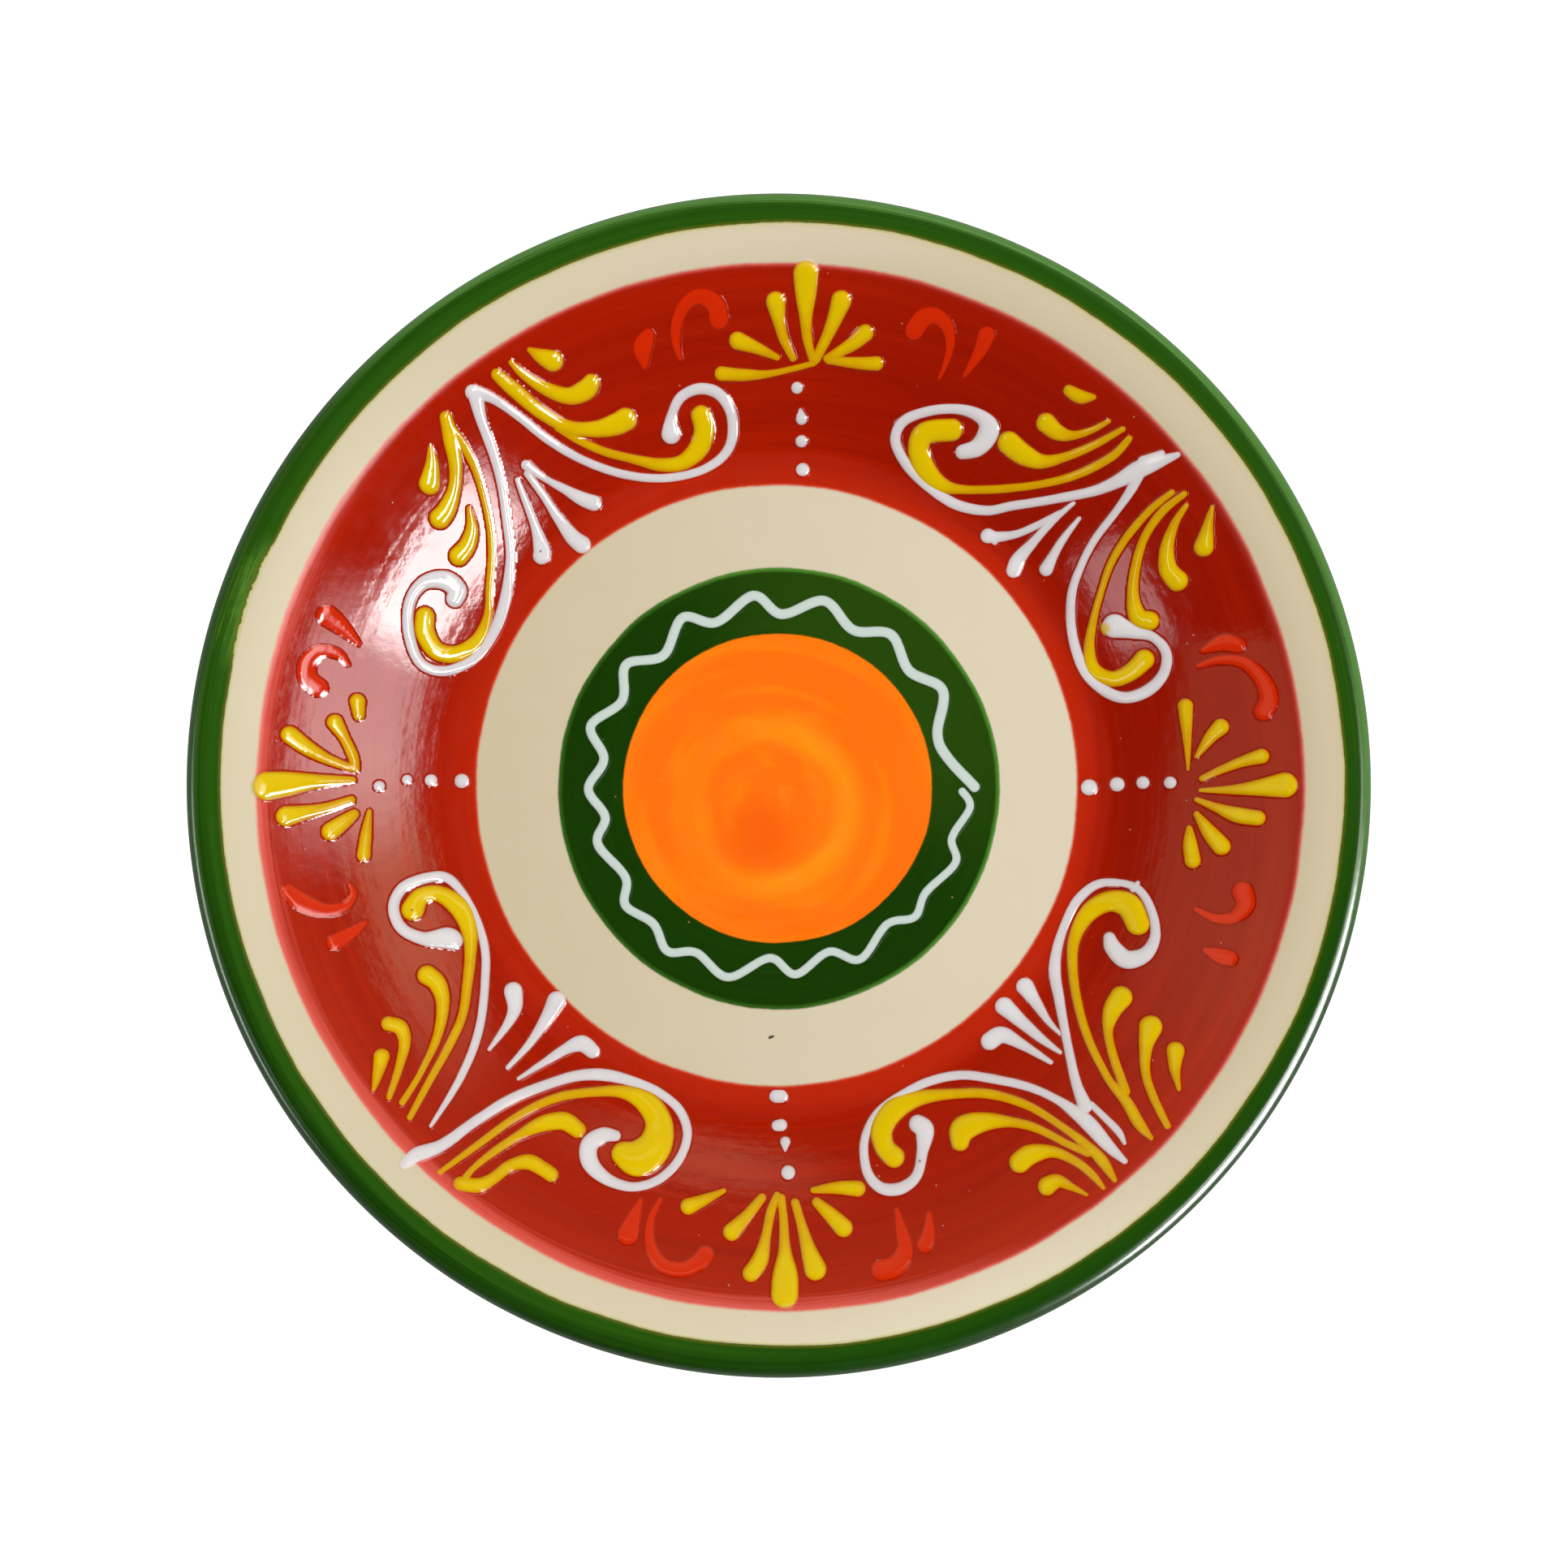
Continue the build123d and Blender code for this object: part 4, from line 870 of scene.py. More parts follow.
    # drop the sheet onto the glazed surface
    surface = addNode(tree, "GeometryNodeObjectInfo", {"Object": start["Glazed Surface"]},
                      transform_space="ORIGINAL").outputs["Geometry"]
    flatHere = addNode(tree, "ShaderNodeVectorMath", {0: here, 1: (1.0, 1.0, 0.0)}, operation="MULTIPLY")
    above = addNode(tree, "ShaderNodeVectorMath", {0: flatHere.outputs[0], 1: (0.0, 0.0, 0.1)},
                    operation="ADD").outputs[0]
    ray = addNode(tree, "GeometryNodeRaycast", {"Target Geometry": surface, "Source Position": above,
                                                "Ray Direction": (0.0, 0.0, -1.0), "Ray Length": 1.0})
    laid = addNode(tree, "GeometryNodeSetPosition", {"Geometry": onBorder.outputs[0],
                                                     "Position": ray.outputs["Hit Position"]})
    depth = ramp(tree, edgeHere, calc(tree, "MULTIPLY", start["Skirt"], -1.0),
                 calc(tree, "MULTIPLY", start["Skirt"], -0.55))
    sink = calc(tree, "MULTIPLY", calc(tree, "SUBTRACT", 1.0, depth), start["Sink"])
    lifted = calc(tree, "SUBTRACT", calc(tree, "MULTIPLY", depth, start["Lift"]), sink)
    raisedBy = calc(tree, "MULTIPLY_ADD", heightHere, calc(tree, "MULTIPLY", depth, mm), lifted)
    borderHere = addNode(tree, "GeometryNodeInputNamedAttribute", {"Name": "border"},
                         data_type="BOOLEAN").outputs["Attribute"]
    inside = addNode(tree, "FunctionNodeBooleanMath", {0: borderHere}, operation="NOT").outputs[0]
    down = addNode(tree, "ShaderNodeCombineXYZ", {"Z": calc(tree, "MULTIPLY", start["Sink"], -1.0)}).outputs[0]
    settled = addNode(tree, "GeometryNodeSetPosition", {"Geometry": laid.outputs[0], "Offset": down,
                                                        "Selection": borderHere}).outputs[0]
    top = addNode(tree, "GeometryNodeSetPosition", {
        "Geometry": settled, "Selection": inside,
        "Offset": addNode(tree, "ShaderNodeCombineXYZ", {"Z": raisedBy}).outputs[0]}).outputs[0]
    under = addNode(tree, "GeometryNodeSetPosition", {
        "Geometry": settled, "Selection": inside,
        "Offset": addNode(tree, "ShaderNodeCombineXYZ", {
            "Z": calc(tree, "MULTIPLY", start["Sink"], -2.0)}).outputs[0]})
    turnedOver = addNode(tree, "GeometryNodeFlipFaces", {"Mesh": under.outputs[0]})
    joined = tree.nodes.new("GeometryNodeJoinGeometry")
    tree.links.new(turnedOver.outputs[0], joined.inputs[0])
    tree.links.new(top, joined.inputs[0])
    closed = addNode(tree, "GeometryNodeMergeByDistance", {"Geometry": joined.outputs[0], "Distance": 0.000002})
    smooth = addNode(tree, "GeometryNodeSetShadeSmooth", {"Geometry": closed.outputs[0], "Shade Smooth": True},
                     domain="FACE")
    real = addNode(tree, "GeometryNodeRealizeInstances", {"Geometry": smooth.outputs[0]})
    finished = addNode(tree, "GeometryNodeSetMaterial", {"Geometry": real.outputs[0],
                                                         "Material": start["Finish"]})
    tree.links.new(finished.outputs[0], end["Geometry"])
    return tree


def trailSlip(node, strokes, finish, fullness=1.0):
    vertices, edges, widths = [], [], []
    for stroke in strokes:
        for number, (x, y, halfWidth) in enumerate(stroke):
            if number:
                edges.append((len(vertices) - 1, len(vertices)))
            vertices.append((x * mm, y * mm, 0.0))
            widths.append(halfWidth * mm)
    mesh = bpy.data.meshes.new(node + "Strokes")
    mesh.from_pydata(vertices, edges, [])
    stored = mesh.attributes.new("halfWidth", "FLOAT", "POINT")
    stored.data.foreach_set("value", widths)
    values = {"Glazed Surface": glazedSurface, "Cell": slipShape["cell"] * mm,
              "Skirt": slipShape["skirt"] * mm, "Height Gain": slipShape["heightGain"] * fullness,
              "Height Power": slipShape["heightPower"], "Lift": slipShape["lift"] * mm,
              "Sink": slipShape["sink"] * mm, "Softening": slipShape["softening"], "Finish": finish}
    return runTree(mesh, node.replace("_", "") + "Slip", slipTree, values, node)


print("building the node trees")
turnedTree = buildTurnedTree()
slipTree = buildSlipTree()
bandGroup = buildBandGroup()
slipGroup = buildSlipGroup()

print("turning the body and its glazes")
turnPiece("clayBody", "clay_body", claySection(), makeClay("biscuitClay"), plate["claySegments"])
# each upper coat reaches from the one before it out to its own edge
coats = [
    ("orangeCentre", "orange_centre", "orange", "orange_glaze"),
    ("darkGreenRing", "dark_green_ring", "darkGreen", "dark_green_glaze"),
    ("innerCreamRing", "inner_cream_ring", "innerCream", "cream_glaze"),
    ("redBand", "red_band", "red", "red_glaze"),
    ("outerCreamRing", "outer_cream_ring", "outerCream", "cream_glaze"),
]
coatPieces = []
low = 0.0
for name, node, edgeName, slotName in coats:
    section = coatSection(low, coatEdges[edgeName])
    coatPieces.append(turnPiece(name, node, section, makeGlaze(name + "Glaze")))
    low = coatEdges[edgeName]
greenRim = turnPiece("greenRim", "green_rim", rimSection(), makeGlaze("greenRimGlaze"))
coatPieces.append(greenRim)
backGlaze = makeBackGlaze("undersideGlaze")
turnPiece("backGlaze", "back_glaze", backSection(plate["footOuter"], beyond), backGlaze)
turnPiece("footWellGlaze", "foot_well_glaze", backSection(0, plate["footInner"]), backGlaze)

# one hidden copy of the upper coats, for the slip to be laid on
surfaceMesh = bpy.data.meshes.new("glazedSurface")
vertices, faces = [], []
for piece in coatPieces:
    offset = len(vertices)
    vertices += [tuple(v.co) for v in piece.data.vertices]
    faces += [tuple(i + offset for i in p.vertices) for p in piece.data.polygons]
surfaceMesh.from_pydata(vertices, [], faces)
glazedSurface = bpy.data.objects.new("glazedSurface", surfaceMesh)
bpy.context.scene.collection.objects.link(glazedSurface)

# yellow sprays: drop shaped strokes that meet at their thin ends
sprayStrokes = {
    "north_spray": [
        [(4.6, 86.6, 2.1), (4.6, 83.6, 1.8), (4.6, 79.5, 1.05), (4.9, 76, 0.8), (5.7, 72.9, 0.6)],
        [(-0.5, 82.1, 1.65), (0, 79.2, 1.1), (0.9, 76, 0.8), (2.4, 73, 0.6)],
        [(-7, 75.8, 1.45), (-4, 74.7, 1.0), (-0.3, 73.1, 0.5)],
        [(-9.8, 70.4, 1.15), (-5.5, 70.2, 0.95), (-1, 70.5, 0.55), (6, 72.1, 0.45)],
        [(10.6, 82.2, 1.7), (9.3, 78.8, 1.2), (7.8, 75.6, 0.9), (6.3, 72.7, 0.75)],
        [(14.7, 77, 1.4), (12.2, 75, 1.1), (8.2, 72.9, 0.6)],
        [(16.7, 72, 1.15), (13.5, 72.1, 0.95), (8.5, 72.6, 0.6)],
    ],
    "east_spray": [
        [(69.5, 13.6, 1.25), (69.7, 10, 0.9), (69.9, 6, 0.5), (70, 2.8, 0.25)],
        [(75.3, 10, 1.35), (73.6, 8.2, 1.0), (71.4, 5, 0.35)],
        [(81.9, 5, 1.25), (78.6, 4, 0.85), (75.2, 2.6, 0.65), (72.3, 1.2, 0.5)],
        [(85.6, 0.1, 2.1), (82, -0.3, 1.45), (77.5, -0.7, 0.8), (72, -0.8, 0.3)],
        [(81.3, -5.5, 1.25), (78, -5, 1.3), (75, -3.9, 0.8), (71.4, -2.4, 0.4)],
        [(75.4, -10.3, 1.5), (73.5, -8, 1.25), (71.4, -4.9, 0.5)],
        [(70.7, -12.8, 1.3), (70.3, -10, 1.15), (70.2, -7.3, 0.5)],
    ],
    "south_spray": [
        [(-15.4, -71.8, 1.35), (-12.6, -70.7, 0.9), (-9.4, -69.3, 0.4)],
        [(-8, -76, 1.45), (-5.6, -73.6, 1.0), (-2.9, -70.5, 0.75)],
        [(-4.7, -82.7, 1.4), (-3.2, -80.6, 1.4), (-2.2, -76.8, 0.8), (-1.3, -72.6, 0.75),
         (-0.3, -70, 0.55)],
        [(1, -86, 2.3), (1.1, -83, 2.1), (1, -78.8, 1.0), (0.8, -74, 0.7), (0.4, -70.5, 0.7)],
        [(6.2, -82, 1.85), (5.1, -79, 1.3), (3.9, -75, 0.8), (2.8, -71.3, 0.7)],
        [(11, -75.3, 1.55), (8.8, -73.2, 1.2), (6.5, -71.2, 0.8)],
        [(13.5, -68.9, 1.3), (9.8, -68.8, 1.0), (5.9, -69.2, 0.5)],
    ],
    "west_spray": [
        [(-71.9, 14.4, 1.25), (-71.7, 12, 0.9)],
        [(-75.6, 10.8, 1.3), (-74, 8, 0.85), (-72.7, 5, 0.85), (-72.2, 2.8, 0.6)],
        [(-82.9, 8.6, 1.45), (-80.2, 6.5, 1.25), (-76.8, 4.5, 0.85), (-73, 3, 0.6)],
        [(-86.5, -0.1, 2.4), (-83, 0.3, 2.0), (-78.5, 0.7, 1.2), (-72.8, 0.9, 0.6)],
        [(-83.4, -5.2, 1.7), (-80.5, -4.6, 1.2), (-77, -3.8, 0.85), (-73, -2.5, 0.7)],
        [(-76.3, -7.8, 1.5), (-74.2, -6.2, 1.2), (-72.5, -4.9, 0.8)],
        [(-70, -4.4, 0.35), (-70.5, -8, 0.85), (-70.9, -11.9, 1.1)],
    ],
}

# white dots, each a very short stroke
dotStrokes = {
    "north_dots": [
        [(3.1, 68.1, 0.95), (3.15, 68.1, 0.95)],
        [(3.7, 64.5, 0.25), (3.9, 62.9, 0.95)],
        [(3.9, 59.2, 1.0), (3.95, 59.2, 1.0)],
        [(4.1, 54.4, 1.1), (4.15, 54.4, 1.1)],
    ],
    "east_dots": [
        [(53.4, -0.3, 1.35), (53.45, -0.3, 1.35)],
        [(58.2, 0.2, 1.2), (58.25, 0.2, 1.2)],
        [(62.5, 0.5, 1.05), (62.55, 0.5, 1.05)],
        [(67, 0.5, 1.0), (67.05, 0.5, 1.0)],
    ],
    "south_dots": [
        [(-0.5, -53.5, 1.1), (0.4, -53.5, 1.1)],
        [(-0.3, -58.5, 0.9), (0.4, -58.4, 1.0)],
        [(1.1, -61.2, 0.85), (1.1, -62.7, 0.2)],
        [(1.6, -66.3, 1.15), (1.65, -66.3, 1.15)],
    ],
    "west_dots": [
        [(-68.4, -0.1, 0.9), (-68.35, -0.1, 0.9)],
        [(-63.8, 1, 0.8), (-63.75, 1, 0.8)],
        [(-59.8, 0.9, 1.0), (-59.75, 0.9, 1.0)],
        [(-54.6, 0.8, 1.2), (-54.55, 0.8, 1.2)],
    ],
}

# orange-red commas, a pair on each side of each spray
commaStrokes = {
    "north_right_commas": [
        [(23, 77.3, 1.5), (24.4, 79.2, 1.5), (26.6, 79.6, 1.2), (28.6, 77.8, 1.0), (29.1, 74.8, 0.7),
         (28.4, 71.8, 0.45), (27.3, 69.4, 0.25)],
        [(35.2, 76.3, 1.4), (34, 73.5, 1.0), (31.6, 69.8, 0.3)],
    ],
    "north_left_commas": [
        [(-10.2, 79.3, 1.6), (-10.8, 81.6, 1.5), (-13.4, 82.9, 1.2), (-16, 81.4, 1.0),
         (-17.4, 78.3, 0.9), (-17.5, 75.3, 0.65), (-16.8, 72.7, 0.3)],
        [(-22.2, 76.6, 1.0), (-23.2, 74.4, 1.5), (-22.8, 71.3, 0.35)],
    ],
    "west_upper_commas": [
        [(-76.6, 28.8, 1.7), (-74.4, 27, 1.3), (-71.6, 24.2, 0.4)],
        [(-73.4, 20.6, 0.35), (-75, 22.4, 0.8), (-77.8, 22.8, 1.1), (-79.9, 20.8, 1.4),
         (-79.9, 18.2, 1.5), (-78.2, 16.6, 1.5)],
    ],
    "west_lower_commas": [
        [(-83.1, -17.8, 1.0), (-80.8, -19.8, 1.4), (-77.2, -21.2, 1.1), (-74, -20.6, 0.8),
         (-72.6, -18.6, 0.55), (-73.1, -16.9, 0.3)],
        [(-75.4, -26.6, 1.3), (-73, -25.2, 1.0), (-70.6, -23.4, 0.4)],
    ],
    "south_left_commas": [
        [(-23.6, -70.8, 0.35), (-24.8, -73.8, 1.1), (-25.6, -76.2, 1.7)],
        [(-20.2, -70.6, 0.35), (-21.8, -74, 0.6), (-21.8, -78, 0.85), (-19.8, -81.2, 1.05),
         (-16.4, -82, 1.15), (-13.6, -80.9, 1.3), (-12.5, -79.7, 1.4)],
    ],
    "south_right_commas": [
        [(20.1, -72.4, 0.35), (20.9, -75.8, 0.9), (21.4, -79, 1.3), (19.8, -81.4, 1.6),
         (17.4, -82.1, 1.6)],
        [(25.6, -72.9, 0.35), (25.5, -76, 1.0), (24.8, -78, 1.2)],
    ],
    "east_upper_commas": [
        [(72.3, 23, 0.4), (75.5, 24.3, 1.3), (78, 23.8, 1.2)],
        [(71.6, 20.4, 0.35), (75.2, 21.4, 0.7), (79, 20.8, 0.9), (81.9, 18, 1.2), (83, 14.8, 1.45),
         (82.2, 12.6, 1.5)],
    ],
    "east_lower_commas": [
        [(71.2, -21.1, 0.35), (74.4, -22.6, 0.7), (77.4, -22.3, 0.95), (79.2, -20.2, 1.4),
         (78.8, -18, 1.6)],
        [(72.6, -28, 0.4), (75, -28.9, 1.2), (76.6, -29.3, 1.2)],
    ],
}

# the long white scrolls of each corner
scrollStrokes = {
    "northeast_scrolls": [
        [(67.4, 55.9, 0.5), (64.6, 54.9, 1.0), (61.2, 53.7, 1.5), (57.5, 51.7, 1.1),
         (53.5, 50.2, 0.85), (46.6, 48.95, 0.75), (40, 48, 0.75), (35.7, 47.3, 0.8), (30.5, 48.4, 0.9),
         (25.7, 51.5, 0.85), (21.9, 55.3, 0.85), (20, 59.4, 0.85), (21.6, 62.6, 0.85),
         (26.5, 64.2, 0.8), (31.5, 64.2, 0.85), (34.9, 62.7, 1.2), (35.9, 60.6, 1.75), (34.2, 58, 1.5),
         (31.5, 57.2, 1.2)],
        [(61.8, 54.9, 1.0), (64.8, 56.2, 0.55)],
        [(61.2, 53, 1.0), (59.9, 50.3, 0.8), (57.5, 46.7, 0.65), (54.2, 42.3, 0.65),
         (51.8, 37.6, 0.65), (50.3, 32.5, 0.75), (50.5, 26.2, 0.8), (52.4, 20.2, 0.9),
         (55.7, 16.6, 0.95), (59.5, 15.1, 0.95), (63.4, 16.4, 1.0), (65.9, 19.3, 0.9),
         (66.2, 22.8, 0.85), (64, 25.4, 0.8), (60.6, 26.4, 1.2), (57.6, 27.4, 2.0)],
    ],
    "northwest_scrolls": [
        [(-51.8, 66.6, 1.3), (-48.6, 65.7, 0.8), (-44.2, 62.8, 0.7), (-39.6, 59.2, 0.7),
         (-34, 56, 0.7), (-27.5, 53.7, 0.7), (-21, 52.9, 0.7), (-15, 53.7, 0.7), (-10.6, 55.8, 0.75),
         (-8.2, 59, 0.85), (-8.1, 63.6, 0.9), (-10.2, 67, 0.95), (-13.6, 67.9, 0.9),
         (-16.8, 66.4, 0.85), (-18.4, 63.2, 0.85), (-18.5, 60.3, 1.6)],
        [(-51.4, 66.3, 1.3), (-50.5, 62, 0.9), (-48.8, 57, 0.8), (-47.4, 51.5, 0.75),
         (-46.6, 45, 0.75), (-46.1, 39.5, 0.8), (-46.8, 33.4, 0.95), (-48.7, 27.2, 0.95),
         (-52.2, 22.1, 0.85), (-57.2, 19.7, 0.85), (-61.4, 21, 0.85), (-63.3, 26, 0.9),
         (-63.1, 31.2, 0.9), (-60.8, 34.6, 1.1), (-57.3, 35.2, 1.6), (-55.2, 33.6, 1.6),
         (-55.6, 32, 1.4)],
    ],
    "southwest_scrolls": [
        [(-63.2, -63.9, 0.7), (-61.2, -62.4, 1.2), (-57, -60.9, 1.0), (-52, -57.4, 0.85),
         (-46.2, -53.8, 0.85), (-40.4, -51.5, 0.85), (-34.8, -49.9, 0.9), (-30, -49.8, 1.0),
         (-25, -51, 0.85), (-20.4, -53, 0.75), (-17, -56, 0.75), (-15.7, -60, 0.75),
         (-17.2, -64.2, 0.75), (-20.6, -67.4, 0.75), (-25, -68.5, 0.75), (-29.4, -67.1, 1.0),
         (-32.2, -64.4, 1.4), (-32.4, -61.5, 1.5), (-30.2, -59.9, 1.3), (-28, -60, 0.9)],
        [(-59, -57.7, 0.3), (-56.6, -53.9, 0.5), (-54.2, -49.6, 0.65), (-52.2, -44.8, 0.7),
         (-51, -39.8, 0.7), (-50.5, -34, 0.7), (-50.5, -28.8, 0.7), (-51.7, -23.8, 0.65),
         (-54, -19.2, 0.65), (-57, -15.9, 0.8), (-60.6, -15.9, 0.9), (-64.4, -17.5, 0.9),
         (-65.9, -20.8, 0.9), (-64.6, -24.3, 0.95), (-61, -26.2, 1.1), (-57, -26.2, 1.8),
         (-55.8, -26.7, 1.5)],
    ],
    "southeast_scrolls": [
        [(58.5, -63.5, 0.5), (56, -61.2, 1.0), (53, -57.8, 1.3), (50.8, -55.9, 1.1),
         (47.6, -53.7, 0.7), (43, -51.7, 0.7), (37.5, -50.5, 0.75), (31.5, -49.8, 0.75),
         (26, -50.9, 0.75), (21, -53.3, 0.7), (16.8, -56.5, 0.65), (14.7, -61, 0.7), (15.1, -66, 0.8),
         (17.4, -68.7, 0.95), (20.8, -68.8, 1.0), (23.6, -66.6, 0.85), (24.6, -62.6, 0.95),
         (25, -59.2, 1.6), (23.9, -58.1, 1.5)],
        [(53.2, -54.3, 0.5), (56, -57, 0.6), (57.7, -58.8, 0.6), (58.6, -60.6, 0.3)],
        [(52.2, -54.6, 1.2), (50.8, -50.8, 0.85), (49.8, -46, 0.75), (49, -41.6, 0.75),
         (48.2, -36.8, 0.85), (47.5, -32.2, 1.0), (47.9, -28.2, 0.85), (49.3, -23.8, 0.75),
         (51.4, -19.8, 0.8), (54.6, -17.1, 0.75), (58.4, -16.7, 0.6), (61.8, -17.9, 0.7),
         (63.8, -21.4, 0.75), (64.4, -25.6, 0.85), (62.8, -28.8, 1.2), (59.6, -29.8, 1.55),
         (57.4, -27.9, 1.4), (56.8, -26.2, 1.0)],
        [(60.8, -17.8, 0.5), (61.6, -16.7, 0.35)],
    ],
}

# three short white strokes inside each corner
fanStrokes = {
    "northeast_fan": [
        [(48.2, 46.7, 0.5), (44.6, 44.8, 0.6), (41, 43.3, 0.65), (37.6, 42.8, 0.9), (36, 43, 1.25)],
        [(36.9, 42.7, 0.8), (37.2, 41.9, 0.45)],
        [(50.4, 48.3, 0.35), (47, 45.4, 0.6), (43.6, 41.7, 0.8), (41.2, 38.9, 1.2), (40.4, 37, 1.2)],
        [(51.4, 45.7, 0.35), (49, 42.6, 0.6), (47.2, 39.6, 0.8), (46, 37.2, 1.15)],
    ],
    "northwest_fan": [
        [(-43.2, 54.8, 0.85), (-40.4, 52.8, 0.55), (-37, 51, 0.75), (-34, 49.4, 1.15),
         (-31.8, 48.6, 1.3)],
        [(-43, 53.4, 0.6), (-40.4, 49.8, 0.65), (-38, 46.1, 0.85), (-35.6, 42.9, 1.3),
         (-33.9, 41.5, 1.5)],
        [(-44.7, 52.3, 0.45), (-43.3, 48.6, 0.65), (-41.8, 44.5, 0.8), (-40.8, 40.8, 1.4),
         (-40.8, 39.6, 1.5)],
    ],
    "southwest_fan": [
        [(-45.7, -35.4, 1.55), (-45.4, -38.2, 1.2), (-46.6, -41, 0.75), (-49.6, -45.2, 0.3)],
        [(-38.3, -37, 1.55), (-40, -40.1, 1.1), (-42.8, -44.3, 0.65), (-46.4, -48.3, 0.4)],
        [(-32.1, -45.7, 1.25), (-34, -44.4, 1.4), (-36.8, -45.4, 0.9), (-40.4, -47.6, 0.6),
         (-44.6, -50.2, 0.3)],
    ],
    "southeast_fan": [
        [(36.3, -44, 1.5), (38.4, -42.9, 1.4), (41.6, -44.4, 0.9), (46.6, -47.4, 0.4)],
        [(38.8, -38, 1.55), (41.4, -40.3, 1.15), (45, -43.4, 0.75), (48.2, -45.7, 0.35)],
        [(42.4, -34.6, 1.5), (44.4, -37.6, 0.95), (46.4, -40.6, 0.55), (48.4, -42.7, 0.3)],
    ],
}

